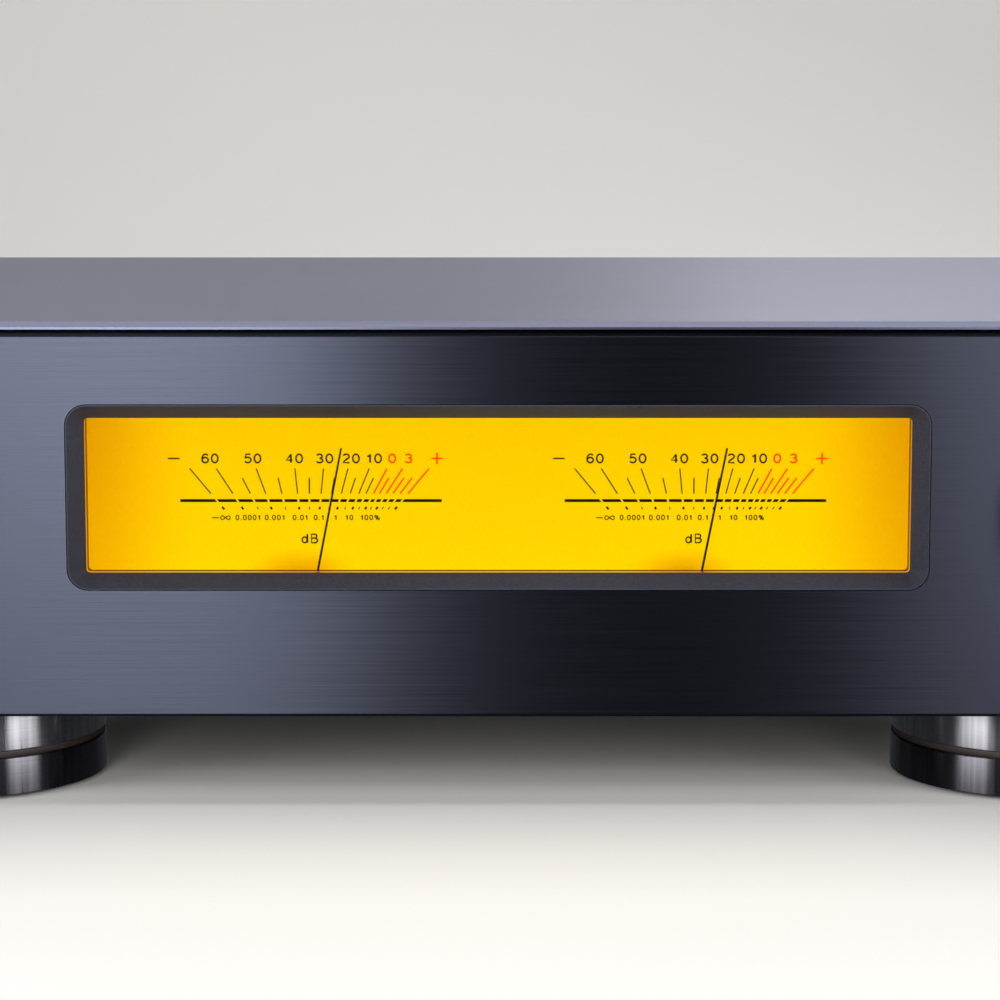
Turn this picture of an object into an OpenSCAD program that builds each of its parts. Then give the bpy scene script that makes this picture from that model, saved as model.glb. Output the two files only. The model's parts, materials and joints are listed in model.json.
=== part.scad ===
// Integrated amplifier with a twin-meter window, built as separate pieces.
// Body frame used by the modules: x to the right, y back from the front face, z up from the
// lower edge of the front panel. seat() moves that frame to the part's own frame.

/* [Casing] */
// Width of the casing
body_w = 322; // [270:1:386]
// Depth from the front face to the rear panel's outer face
body_d = 300; // [250:1:360]
// Height of the front panel
panel_h = 82; // [70:1:98]
// Thickness of the front panel
panel_t = 10; // [8.5:0.5:12]
// Chamfer round the front face
panel_chamfer = 0.7; // [0.3:0.1:1]
// Gap between the front panel and the floating cover
cover_gap = 0.9; // [0.4:0.1:1.5]
// Thickness of the top cover
cover_t = 1.6; // [1.5:0.1:3]
// Depth of the lip that turns down behind the rear panel
cover_lip_h = 12; // [10:1:16]
// Thickness of the side panels
side_t = 4; // [3:0.5:5]
// Thickness of the steel base
base_t = 1.5; // [1:0.1:2.5]
// Thickness of the rear panel
rear_t = 2; // [1.5:0.1:3]

/* [Meter window] */
// Width of the front panel left on each side of the window surround
window_margin = 69.4; // [68:0.2:83]
// Height of the window surround at the front face
bezel_h = 39.6; // [33:0.2:47.4]
// Height of the window's middle above the middle of the front panel
window_rise = 6.2; // [5:0.1:7.5]
// Corner radius of the surround
bezel_r = 4.5; // [3:0.5:6]
// Width of the sloping face at the sides
slope_w = 3.5; // [3:0.1:4.5]
// Width of the sloping face above and below
slope_h = 3.15; // [2.5:0.05:3.5]
// Depth of the sloping face
slope_d = 4; // [3:0.1:4]
// Depth of the printed dial behind the front face
dial_depth = 8.2; // [7:0.1:9.8]
// Distance between the two meter pivots
meter_pitch = 82.5; // [69:0.5:99]
// Sideways offset of the printed scales
meter_shift = 0.75; // [0:0.05:1]
// Depth of the pivots below the window's lower edge
pivot_drop = 8.95; // [7.5:0.05:10.7]
// Length of the needle from its pivot to its tip
needle_len = 35.4; // [30:0.1:38]
// Angle of the needle at rest, clockwise from upright
needle_angle = 11.1; // [0:0.1:20]

/* [Controls] */
// Diameter of the volume knob
volume_d = 42; // [36:1:46]
// Diameter of the input knob
input_d = 26; // [22:1:30]
// How far the volume knob stands out
knob_out = 20; // [16:1:24]
// How far the input knob stands out
input_out = 16; // [12:1:20]
// Diameter of the control shafts
shaft_d = 6; // [5:0.5:7]
// Diameter of the power button
button_d = 12; // [10:0.5:14]
// How far the power button stands out
button_out = 4; // [3.5:0.5:6]
// Travel of the power button
button_travel = 3; // [2:0.5:3]
// Bore of the headphone socket
phones_bore_d = 6.5; // [6.4:0.05:6.6]

/* [Feet] */
// Height of the feet
foot_h = 19.6; // [16:0.1:24]
// Radius of a foot
foot_r = 33; // [28:1:36]
// Distance of a foot's centre from the casing's side
foot_inset = 39; // [36:1:56]
// Distance of a foot's centre from the front or rear face
foot_y = 36; // [36:1:60]

/* [Rear] */
// How far the loudspeaker terminals stand out
rear_out = 24; // [22:1:28]
// Distance between the two terminals of a pair
terminal_pitch = 19.05; // [19:0.05:22]
// Bore of the terminals
terminal_bore_d = 4.1; // [4.05:0.05:4.2]
// Travel of a terminal's screw cap
cap_travel = 3; // [2:0.5:4]
// Outer diameter of the line sockets
line_d = 8.3; // [8.2:0.05:8.4]
// Distance between line sockets
line_pitch = 18; // [15:0.5:21.5]

/* [Inside] */
// Diameter of the toroidal transformer
toroid_d = 108; // [90:1:129]
// Height of the transformer
toroid_h = 44; // [36:1:48]
// Width of a heat sink from its back to the fin tips
sink_w = 32; // [27:1:38]
// Diameter of the reservoir capacitors
reservoir_d = 30; // [25:1:36]
// Height of the reservoir capacitors
reservoir_h = 42; // [30:1:46]

/* [Hidden] */
$fn = 64;
slack = 0.1;        // between pieces that are fitted together
gap = 0.3;          // between a moving piece and its neighbours
fit = 0.05;         // radial clearance of a turning shaft
board_t = 1.6;      // circuit boards
eps = 0.01;

overall_d = knob_out + body_d + rear_out;
front_y = knob_out - overall_d / 2;
side_x = body_w / 2 - side_t;
rear_y = body_d - rear_t;
bezel_w = body_w - 2 * window_margin;
bezel_z = panel_h / 2 + window_rise;
bezel_top_z = bezel_z + bezel_h / 2;
window_w = bezel_w - 2 * slope_w;
window_h = bezel_h - 2 * slope_h;
pivot_z = bezel_z - window_h / 2 - pivot_drop;
meter_xs = [meter_shift - meter_pitch / 2, meter_shift + meter_pitch / 2];

// panel: the milled pocket behind the window
skin_t = slope_d + slack;
flange_out = 4.5;
pocket_margin = 2;
pocket_w = bezel_w + 2 * (flange_out + pocket_margin);
pocket_top_z = bezel_top_z + flange_out + pocket_margin;
pocket_bottom_z = pivot_z - 9.6;

// window: lens, dial, needle plane
lens_t = 1.2;
dial_t = 1.2;
dial_over = 2;
needle_t = 0.35;
needle_w = 0.55;
needle_y = dial_depth - 1.5;
hub_front = 0.5;
bezel_back = needle_y - hub_front - gap;
hub_r = 2.2;
tail_len = 5.2;

// meter carrier: an open-fronted moulded box behind the panel
carrier_y = panel_t;
carrier_d = 19;
carrier_wall = 1.8;
carrier_w = pocket_w + 8;
carrier_bottom_z = pivot_z - 11.5;
carrier_top_z = panel_h - 5.5;
shelf_t = 1.2;
yoke_r = 8.3;
yoke_in = 6.9;
core_r = 4.3;
coil_in = 4.8;
coil_out = 6.4;
coil_half = 1.1;
shelf_y = max(carrier_y, dial_depth + dial_t + slack);
movement_y = shelf_y + 0.5;
bridge_t = 1.2;
spindle_r = 0.6;
movement_end = carrier_y + carrier_d - carrier_wall;
coil_bar = 1.2;
coil_y = [movement_y + bridge_t + gap, movement_end - bridge_t - gap];
shelf_z = pivot_z + yoke_r + 0.3;
light_board_y = movement_end - board_t - 2;

// controls: both columns sit midway between the window and the casing's side
column_x = (bezel_w / 2 + flange_out + body_w / 2) / 2 + 2;
volume_z = panel_h / 2 + 5;
input_z = panel_h - 27;
lower_z = 20;
lower_dx = 12.5;
knob_gap = 1;
shaft_hole_r = shaft_d / 2 + 1;
shaft_grip = 12;
bushing_r = 4.6;
bushing_len = 7;
board_y = panel_t + bushing_len;
button_hole_r = button_d / 2 + gap;
light_r = 1.5;
light_z = 35.5;
phones_r = 5.9;
phones_ring_r = 7.4;
phones_ring_t = 0.8;
phones_depth = 32;

// feet: turned drum, dark isolator, turned disc, pad
pad_t = 0.8;
disc_h = 8.2;
isolator_t = 1.6;
drum_h = foot_h - pad_t - disc_h - isolator_t;
foot_centres = [for (sx = [-1, 1], y = [foot_y, body_d - foot_y]) [sx * (body_w / 2 - foot_inset), y]];
foot_bolt_r = 3;

// rear sockets, laid out from the inlet beside the right side panel
inlet_x = side_x - 35;
inlet_z = 42;
pair_pitch = 50;
terminal_z = 30;
terminal_xs = [for (pair = [1, 2], step = [0, 1]) inlet_x - pair * pair_pitch - step * terminal_pitch];
terminal_names = ["right_plus", "right_minus", "left_plus", "left_minus"];
stud_r = 3;
stud_out = rear_out - 4;
stud_bore_l = 18;
collar_r = 7.9;
collar_t = 3;
ferrule_r = 6.8;
ferrule_t = 1.2;
cap_r = 7.7;
cap_start = collar_t + ferrule_t + 2 * gap;
line_xs = [for (i = [0:3]) inlet_x - 3 * pair_pitch - 8 - i * line_pitch];
line_zs = [for (row = [-1, 1]) panel_h / 2 + 2 + row * line_pitch / 2];
line_out = 9.5;
line_flange_r = 6;
line_flange_t = 1.2;
line_insert_r = 3.5;
inlet_flange = [50, 2, 22.6];
inlet_body = [27, 19, 19.8];
inlet_socket = [24.4, 16.5, 16.6];
inlet_screw_dx = 20;
inlet_blades = [[-7, -2], [7, -2], [0, 2]];
blade_l = 11.5;

// inside
toroid_hole_r = 16;
toroid_y = carrier_y + carrier_d + 10 + toroid_d / 2;
plate_r = 30;
plate_t = 2;
pad_rubber_t = 2.5;
sink_front = 66;
sink_rear = 250 + body_d - 300;
sink_back_t = 6;
sink_foot_z = base_t;
sink_h = panel_h - sink_foot_z - 10.5;
sink_gap = 2;
sink_in_x = side_x - sink_gap - sink_w;
fin_pitch = 7.5;
fin_t = 1.5;
transistor = [4.8, 15.6, 20];
board_z = 10;
reservoir_gap = 4;
reservoir_edge = 1;
supply_board = [112, 2 * (reservoir_d + reservoir_edge) + reservoir_gap, board_t];
amp_board_x = max(toroid_d / 2 + 3, supply_board[0] / 2 + 1);
amp_board_w = sink_in_x - transistor[0] - 2 - amp_board_x;
supply_y = rear_y - 22 - supply_board[1];
vent_slot = [3, 26];
vent_pitch = 8;
screw_r = 1.5;
screw_head_r = 2.8;
screw_head_t = 1.8;
lip_t = 1.5;
corner = 5;

// ---- shared shapes -------------------------------------------------------------------------

module seat() { translate([0, front_y, foot_h]) children(); }

// a cylinder that runs back along y from y0 to y1, centred on x and z
module rod(x, z, y0, y1, r, fn = 64) {
    translate([x, y0, z]) rotate([-90, 0, 0]) cylinder(r = r, h = y1 - y0, $fn = fn);
}

// a block from one corner to the other
module block(low, high) { translate(low) cube(high - low); }

// a rectangle with round corners, centred
module round_rect(w, h, r) {
    square([w - 2 * r, h], center = true);
    square([w, h - 2 * r], center = true);
    for (sx = [-1, 1], sz = [-1, 1]) translate([sx * (w / 2 - r), sz * (h / 2 - r)]) circle(r = r);
}

// that rectangle as an upright plate from y0 to y1
module round_plate(w, h, r, y0, y1, x = 0, z = 0) {
    translate([x, y1, z]) rotate([90, 0, 0]) linear_extrude(y1 - y0) round_rect(w, h, r);
}

// a slot with round ends, cut through along the axis of its extrusion
module slot_2d(w, l) {
    square([w, l - w], center = true);
    for (s = [-1, 1]) translate([0, s * (l - w) / 2]) circle(d = w, $fn = 24);
}

// a pan-head screw whose head stands out along +z
module pan_screw(length) {
    cylinder(r = screw_head_r, h = screw_head_t, $fn = 32);
    translate([0, 0, -length]) cylinder(r = screw_r - slack, h = length + eps, $fn = 24);
}

// insulated wire along straight runs that overlap at each bend
module wire(points, r) {
    lap = 0.6 * r;
    for (i = [0:len(points) - 2]) {
        run = points[i + 1] - points[i];
        l = norm(run);
        before = i > 0 ? lap : 0;
        after = i < len(points) - 2 ? lap : 0;
        translate(points[i]) rotate([0, acos(run[2] / l), atan2(run[1], run[0])])
            translate([0, 0, -before]) cylinder(r = r, h = l + before + after, $fn = 8);
    }
}

// ---- front panel and window ----------------------------------------------------------------

module front_panel() {
    c = panel_chamfer;
    color("#3d4050") difference() {
        intersection() {
            translate([-body_w / 2, 0, 0]) rotate([90, 0, 90]) linear_extrude(body_w)
                polygon([[c, 0], [panel_t, 0], [panel_t, panel_h], [c, panel_h],
                         [0, panel_h - c], [0, c]]);
            translate([0, 0, 0]) linear_extrude(panel_h)
                polygon([[-body_w / 2 + c, 0], [body_w / 2 - c, 0], [body_w / 2, c],
                         [body_w / 2, panel_t], [-body_w / 2, panel_t], [-body_w / 2, c]]);
        }
        round_plate(bezel_w + 2 * slack, bezel_h + 2 * slack, bezel_r + slack, -1, panel_t, z = bezel_z);
        block([-pocket_w / 2, skin_t, pocket_bottom_z], [pocket_w / 2, panel_t + 1, pocket_top_z]);
        rod(column_x, volume_z, -1, panel_t + 1, shaft_hole_r);
        rod(-column_x, input_z, -1, panel_t + 1, shaft_hole_r);
        rod(-column_x - lower_dx, lower_z, -1, panel_t + 1, button_hole_r);
        rod(-column_x + lower_dx, lower_z, -1, panel_t + 1, phones_r + slack);
        rod(-column_x - lower_dx, light_z, -1, panel_t + 1, light_r + slack);
    }
}

module meter_bezel() {
    lip = 0.35;
    color("#3b3c46") difference() {
        union() {
            round_plate(bezel_w, bezel_h, bezel_r, 0, bezel_back, z = bezel_z);
            round_plate(bezel_w + 2 * flange_out, bezel_h + 2 * flange_out, 2, skin_t + slack, bezel_back,
                        z = bezel_z);
        }
        hull() {
            round_plate(bezel_w - 2 * lip, bezel_h - 2 * lip, bezel_r - lip, -0.02, -0.01, z = bezel_z);
            round_plate(window_w, window_h, 0.9, slope_d - 0.01, slope_d, z = bezel_z);
        }
        round_plate(window_w, window_h, 0.9, slope_d - 1, dial_depth + 1, z = bezel_z);
    }
}

module window_lens() {
    color("#f4f4f0", 0.3)
        round_plate(window_w - 2 * slack, window_h - 2 * slack, 0.8, slope_d + slack,
                    slope_d + slack + lens_t, z = bezel_z);
}

module dial_plate() {
    color("#f5b400")
        round_plate(window_w + 2 * dial_over, window_h + 2 * dial_over, 1.5, dial_depth,
                    dial_depth + dial_t, z = bezel_z);
}

module meter_carrier() {
    w = carrier_w / 2;
    color("#e8e8e4") difference() {
        block([-w, carrier_y, carrier_bottom_z], [w, carrier_y + carrier_d, carrier_top_z]);
        block([-w + carrier_wall, carrier_y - 1, carrier_bottom_z + carrier_wall],
              [w - carrier_wall, movement_end, shelf_z]);
        block([-w + carrier_wall, carrier_y - 1, shelf_z + shelf_t],
              [w - carrier_wall, movement_end, carrier_top_z - carrier_wall]);
        block([-w + carrier_wall, carrier_y - 1, shelf_z - 1], [w - carrier_wall, shelf_y, shelf_z + shelf_t + 1]);
    }
}

module light_board() {
    w = window_w / 2;
    z0 = shelf_z + shelf_t + 0.5;
    led = 3;
    led_pitch = 11.6;
    leds = floor((w - led / 2) / led_pitch);
    color("#f2f2ee") {
        block([-w, light_board_y, z0], [w, light_board_y + board_t, carrier_top_z - carrier_wall - 0.5]);
        for (i = [-leds:leds], z = [z0 + 6, z0 + 18])
            translate([i * led_pitch - led / 2, light_board_y - 1, z]) cube([led, 1 + eps, led]);
    }
}

// ---- moving-coil meters --------------------------------------------------------------------

module meter_movement(x) {
    color("#8d9096") {
        difference() {
            rod(x, pivot_z, movement_y, movement_end, yoke_r);
            rod(x, pivot_z, movement_y + bridge_t, movement_end - bridge_t, yoke_in);
            rod(x, pivot_z, movement_y - 1, movement_end + 1, spindle_r + fit, 24);
        }
        rod(x, pivot_z, coil_y[0] + coil_bar + gap, coil_y[1] - coil_bar - gap, core_r);
        block([x - 0.7, coil_y[0] + coil_bar + gap, pivot_z - yoke_in - 0.2],
              [x + 0.7, coil_y[1] - coil_bar - gap, pivot_z + yoke_in + 0.2]);
    }
}

module meter_needle(x) {
    translate([x, 0, pivot_z]) rotate([0, needle_angle, 0]) color("#15100c") {
        block([-needle_w / 2, needle_y, -tail_len], [needle_w / 2, needle_y + needle_t, needle_len]);
        rod(0, -tail_len, needle_y - 0.4, needle_y + needle_t + 0.4, 1.2, 32);
        rod(0, 0, needle_y - hub_front, needle_y + 1.2, hub_r, 32);
        rod(0, 0, needle_y + 1, coil_y[0], spindle_r, 24);
    }
}

module meter_coil(x) {
    y0 = coil_y[0];
    y1 = coil_y[1];
    translate([x, 0, pivot_z]) rotate([0, needle_angle, 0]) color("#b5651d") {
        difference() {
            block([-coil_out, y0, -coil_half], [coil_out, y1, coil_half]);
            block([-coil_in, y0 + coil_bar, -2 * coil_half], [coil_in, y1 - coil_bar, 2 * coil_half]);
        }
        rod(0, 0, y1 - eps, y1 + gap + bridge_t, spindle_r, 24);
    }
}

// ---- controls ------------------------------------------------------------------------------

// a turned knob: chamfered face, pointer notch, finger groove at the back, blind shaft bore
module knob(x, z, d, out) {
    r = d / 2;
    c = 0.8;
    notch = 1.2;
    color("#4a4d5c") difference() {
        translate([x, 0, z]) rotate([90, 0, 0]) rotate_extrude($fn = 128)
            polygon([[0, knob_gap], [r - 1.4, knob_gap], [r - 1.4, knob_gap + 1.6], [r, knob_gap + 2.2],
                     [r, out - c], [r - c, out], [0, out]]);
        rod(x, z, -shaft_grip - knob_gap, 1, shaft_d / 2 + 0.02);
        block([x - notch / 2, -out - 1, z + r * 0.45], [x + notch / 2, -out + 0.6, z + r + 1]);
        block([x - notch / 2, -out - 1, z + r - 0.5], [x + notch / 2, -knob_gap - 4, z + r + 1]);
    }
}

module control_shaft(x, z, back) {
    color("#c8c8cc") rod(x, z, -shaft_grip, back, shaft_d / 2);
}

module volume_potentiometer() {
    color("#6e7076") difference() {
        union() {
            block([column_x - 13, board_y + board_t, volume_z - 13],
                  [column_x + 13, board_y + board_t + 18, volume_z + 13]);
            rod(column_x, volume_z, board_y - 5, board_y + board_t + 1, bushing_r);
        }
        rod(column_x, volume_z, board_y - 6, board_y + board_t + 12, shaft_d / 2 + fit);
    }
}

module input_switch() {
    color("#7a6a48") difference() {
        union() {
            rod(-column_x, input_z, board_y + board_t, board_y + board_t + 14, 12.5);
            rod(-column_x, input_z, board_y - 5, board_y + board_t + 1, bushing_r);
        }
        rod(-column_x, input_z, board_y - 6, board_y + board_t + 9, shaft_d / 2 + fit);
    }
}

module power_button() {
    x = -column_x - lower_dx;
    flange_y = panel_t + gap;
    color("#c9cace") {
        translate([x, 0, lower_z]) rotate([90, 0, 0]) rotate_extrude($fn = 96)
            polygon([[0, -flange_y - 1], [button_d / 2 + 1.3, -flange_y - 1], [button_d / 2 + 1.3, -flange_y],
                     [button_d / 2, -flange_y], [button_d / 2, button_out - 0.6],
                     [button_d / 2 - 0.6, button_out], [0, button_out]]);
        rod(x, lower_z, flange_y, board_y + board_t + 2, 2, 32);
    }
}

module power_switch() {
    x = -column_x - lower_dx;
    y = board_y + board_t;
    color("#2a2a2c") difference() {
        block([x - 7, y, lower_z - 7], [x + 7, y + 16, lower_z + 7]);
        rod(x, lower_z, y - 1, y + 2 + button_travel + gap, 2 + gap, 32);
    }
}

module headphone_socket() {
    x = -column_x + lower_dx;
    color("#1e1e20") difference() {
        union() {
            rod(x, lower_z, -phones_ring_t, panel_t + 2 + eps, phones_r);
            block([x - 7.5, panel_t + 2, lower_z - 9], [x + 7.5, panel_t + 28, lower_z + 9]);
        }
        rod(x, lower_z, -2, phones_depth - phones_ring_t, phones_bore_d / 2);
    }
}

module headphone_ring() {
    x = -column_x + lower_dx;
    color("#c9cace") difference() {
        rod(x, lower_z, -phones_ring_t, 0, phones_ring_r);
        rod(x, lower_z, -2, 1, phones_r);
    }
}

module standby_light() {
    x = -column_x - lower_dx;
    color("#f0a030") {
        rod(x, light_z, -0.4, board_y - 3 + eps, light_r, 32);
        rod(x, light_z, board_y - 3, board_y, light_r + 0.5, 32);
    }
}

module control_boards() {
    h = input_z + 14;
    color("#1f5d3a") {
        difference() {
            block([-side_x + 6, board_y, 7], [-column_x + 20, board_y + board_t, h]);
            rod(-column_x, input_z, board_y - 1, board_y + board_t + 1, bushing_r + slack);
            rod(-column_x - lower_dx, lower_z, board_y - 1, board_y + board_t + 1, 2.6);
            block([-column_x + lower_dx - 8, board_y - 1, 6], [-column_x + 21, board_y + board_t + 1, lower_z + 10]);
        }
        difference() {
            block([column_x - 18, board_y, 7], [side_x - 6, board_y + board_t, h]);
            rod(column_x, volume_z, board_y - 1, board_y + board_t + 1, bushing_r + slack);
        }
        for (s = [-1, 1], z = [9.5, h - 4]) rod(s * (column_x + 16), z, panel_t, board_y, 2.5, 6);
    }
}

// ---- casing --------------------------------------------------------------------------------

module chassis_base() {
    x = side_x - slack;
    color("#8c8f94") difference() {
        block([-x, panel_t, 0], [x, rear_y - slack, base_t]);
        for (sx = [-1, 1], y = [sink_front + 8 : vent_pitch : sink_rear - 8])
            translate([sx * (sink_in_x + sink_w / 2 + 3), y, -1]) rotate([0, 0, 90])
                linear_extrude(base_t + 2) slot_2d(vent_slot[0], sink_w - 14);
        for (c = foot_centres) translate([c[0], c[1], -1]) cylinder(r = foot_bolt_r + slack, h = base_t + 2);
        translate([0, toroid_y, -1]) cylinder(r = 4 + slack, h = base_t + 2);
    }
}

// aluminium blocks that tie the side panels to the front, the base and the rear
module corner_blocks() {
    color("#9a9ca2") for (sx = [-1, 1], y = [panel_t, rear_y - slack - corner])
        translate([sx > 0 ? side_x - slack - corner : -side_x + slack, y, base_t])
            cube([corner, corner, panel_h - 1 - base_t]);
}

module side_panel(sx) {
    color("#3d4050") difference() {
        block([min(sx * side_x, sx * body_w / 2), panel_t + slack, 0],
              [max(sx * side_x, sx * body_w / 2), body_d, panel_h]);
        for (y = [sink_front + 6 : vent_pitch : sink_rear - 6])
            translate([sx * (side_x - 1), y, panel_h / 2]) rotate([0, sx * 90, 0])
                linear_extrude(side_t + 2) rotate(90) slot_2d(vent_slot[0], vent_slot[1]);
    }
}

module rear_panel() {
    x = side_x - slack;
    color("#8c8f94") difference() {
        block([-x, rear_y, 0], [x, body_d, panel_h - 1]);
        for (tx = terminal_xs) rod(tx, terminal_z, rear_y - 1, body_d + 1, 5 + slack);
        for (lx = line_xs, lz = line_zs) rod(lx, lz, rear_y - 1, body_d + 1, line_d / 2 + slack);
        block([inlet_x - inlet_body[0] / 2 - slack, rear_y - 1, inlet_z - inlet_body[2] / 2 - slack],
              [inlet_x + inlet_body[0] / 2 + slack, body_d + 1, inlet_z + inlet_body[2] / 2 + slack]);
        for (s = rear_screw_points) rod(s[0], s[1], rear_y - 1, body_d + 1, screw_r, 24);
        for (sx = [-1, 1]) rod(inlet_x + sx * inlet_screw_dx, inlet_z, rear_y - 1, body_d + 1, screw_r, 24);
    }
}

lip_screw_xs = [-body_w / 2 + 51, 0, body_w / 2 - 51];
lip_screw_z = panel_h + cover_gap - cover_lip_h / 2;
rear_screw_points = [for (x = lip_screw_xs) [x, lip_screw_z]];

module top_cover() {
    z0 = panel_h + cover_gap;
    c = 1.1;
    color("#4a4d5a") difference() {
        union() {
            translate([-body_w / 2, 0, 0]) rotate([90, 0, 90]) linear_extrude(body_w)
                polygon([[0, z0], [body_d + slack + lip_t, z0], [body_d + slack + lip_t, z0 + cover_t],
                         [c * 1.6, z0 + cover_t], [0, z0 + cover_t - c]]);
            block([-side_x, body_d + slack, z0 - cover_lip_h],
                  [side_x, body_d + slack + lip_t, z0 + eps]);
        }
        for (s = rear_screw_points) rod(s[0], s[1], body_d - 1, body_d + lip_t + 1, screw_r, 24);
    }
}

// rubber washers that carry the cover clear of the side panels
module cover_pads() {
    color("#1c1c1e") for (sx = [-1, 1], y = [panel_t + 20, body_d / 2, body_d - 20])
        translate([sx * (side_x + side_t / 2), y, panel_h])
            cylinder(r = side_t / 2 - 0.3, h = cover_gap, $fn = 32);
}

module panel_screws() {
    color("#26262a") {
        for (s = rear_screw_points) translate([s[0], body_d + slack + lip_t, s[1]])
            rotate([-90, 0, 0]) pan_screw(lip_t + rear_t);
        for (sx = [-1, 1]) translate([inlet_x + sx * inlet_screw_dx, body_d + inlet_flange[1], inlet_z])
            rotate([-90, 0, 0]) pan_screw(inlet_flange[1] + rear_t);
    }
}

// ---- feet ----------------------------------------------------------------------------------

module at_feet() { for (c = foot_centres) translate([c[0], c[1], -foot_h]) children(); }

module foot_drums() {
    c = 0.8;
    z0 = foot_h - drum_h;
    color("#c4c4c8") at_feet() rotate_extrude($fn = 128)
        polygon([[foot_bolt_r + slack, z0], [foot_r - 0.3, z0], [foot_r, z0 + 0.3], [foot_r, foot_h - c],
                 [foot_r - c, foot_h], [foot_bolt_r + slack, foot_h]]);
}

module foot_isolators() {
    color("#161618") at_feet() translate([0, 0, pad_t + disc_h]) difference() {
        cylinder(r = foot_r - 0.5, h = isolator_t, $fn = 128);
        translate([0, 0, -1]) cylinder(r = foot_bolt_r + slack, h = isolator_t + 2);
    }
}

module foot_discs() {
    z1 = pad_t + disc_h;
    color("#b4b4b8") at_feet() rotate_extrude($fn = 128)
        polygon([[foot_bolt_r + slack, pad_t], [foot_r - 0.6, pad_t], [foot_r, pad_t + 0.6],
                 [foot_r, z1 - 0.3], [foot_r - 0.3, z1], [foot_bolt_r + slack, z1]]);
}

module foot_pads() {
    color("#101012") at_feet() cylinder(r = foot_r - 4, h = pad_t, $fn = 96);
}

module foot_bolts() {
    color("#a8a8ac") at_feet() {
        translate([0, 0, pad_t]) cylinder(r = foot_bolt_r, h = foot_h - pad_t + base_t + 6);
        translate([0, 0, foot_h + base_t]) cylinder(r = 5.5, h = 5, $fn = 6);
    }
}

// ---- rear sockets --------------------------------------------------------------------------

module mains_inlet() {
    color("#1a1a1c") translate([inlet_x, body_d, inlet_z]) difference() {
        union() {
            translate([-inlet_flange[0] / 2, 0, -inlet_flange[2] / 2]) cube(inlet_flange);
            translate([-inlet_body[0] / 2, -inlet_body[1], -inlet_body[2] / 2])
                cube(inlet_body + [0, eps, 0]);
        }
        translate([-inlet_socket[0] / 2, inlet_flange[1] - inlet_socket[1], -inlet_socket[2] / 2])
            cube(inlet_socket + [0, 1, 0]);
        for (sx = [-1, 1]) rod(sx * inlet_screw_dx, 0, -1, inlet_flange[1] + 1, screw_r, 24);
        for (b = inlet_blades) translate([b[0] - 1, -inlet_body[1] - 1, b[1] - 2]) cube([2, inlet_body[1], 4]);
    }
}

module mains_blades() {
    y0 = -inlet_body[1] - 6;
    y1 = inlet_flange[1] - inlet_socket[1] + blade_l;
    color("#d0d0d4") translate([inlet_x, body_d, inlet_z]) for (b = inlet_blades)
        translate([b[0] - 1, y0, b[1] - 2]) cube([2, y1 - y0, 4]);
}

module line_socket_shells() {
    color("#d8b04a") for (x = line_xs, z = line_zs) difference() {
        union() {
            rod(x, z, rear_y - 4, body_d + line_out, line_d / 2);
            rod(x, z, body_d, body_d + line_flange_t, line_flange_r);
        }
        rod(x, z, rear_y - 5, body_d + line_out + 1, line_insert_r);
    }
}

module line_socket_inserts() {
    color("#e4e4e0") for (x = line_xs, z = line_zs) difference() {
        rod(x, z, rear_y - 8, body_d + line_out - 0.4, line_insert_r);
        rod(x, z, body_d + 1, body_d + line_out + 1, 1.65, 32);
    }
}

module terminal_collars() {
    color("#1c1c1e") for (x = terminal_xs) difference() {
        union() {
            rod(x, terminal_z, body_d, body_d + collar_t, collar_r);
            rod(x, terminal_z, rear_y - 2, body_d + eps, 5);
            rod(x, terminal_z, rear_y - 4, rear_y - eps, collar_r - 1);
        }
        rod(x, terminal_z, rear_y - 5, body_d + collar_t + 1, stud_r);
    }
}

module terminal_studs() {
    color("#d8b04a") for (x = terminal_xs) difference() {
        union() {
            rod(x, terminal_z, rear_y - 14, body_d + stud_out, stud_r);
            rod(x, terminal_z, rear_y - 7.5, rear_y - 4, 4.8, 6);
        }
        rod(x, terminal_z, body_d + stud_out - stud_bore_l, body_d + stud_out + 1, terminal_bore_d / 2);
    }
}

module terminal_ferrule(i) {
    y0 = body_d + collar_t + gap;
    color("#d8b04a") difference() {
        rod(terminal_xs[i], terminal_z, y0, y0 + ferrule_t, ferrule_r);
        rod(terminal_xs[i], terminal_z, y0 - 1, y0 + ferrule_t + 1, stud_r + fit);
    }
}

module terminal_cap(i) {
    x = terminal_xs[i];
    y0 = body_d + cap_start;
    color(i % 2 == 0 ? "#b02020" : "#202022") difference() {
        translate([x, y0, terminal_z]) rotate([-90, 0, 0]) rotate_extrude($fn = 96)
            polygon([[0, 0], [cap_r - 0.5, 0], [cap_r, 0.5], [cap_r, rear_out - cap_start - 0.8],
                     [cap_r - 0.8, rear_out - cap_start], [0, rear_out - cap_start]]);
        rod(x, terminal_z, y0 - 1, body_d + stud_out + gap, stud_r + fit);
        rod(x, terminal_z, y0, body_d + rear_out + 1, terminal_bore_d / 2 + 0.4);
    }
}

// ---- inside --------------------------------------------------------------------------------

module transformer() {
    r1 = toroid_d / 2;
    z0 = base_t + pad_rubber_t;
    color("#b98a2e") translate([0, toroid_y, z0]) rotate_extrude($fn = 96) {
        translate([toroid_hole_r, 6]) square([r1 - toroid_hole_r, toroid_h - 12]);
        translate([toroid_hole_r + 6, 0]) square([r1 - toroid_hole_r - 12, toroid_h]);
        for (x = [toroid_hole_r + 6, r1 - 6], z = [6, toroid_h - 6]) translate([x, z]) circle(r = 6, $fn = 32);
    }
}

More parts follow.
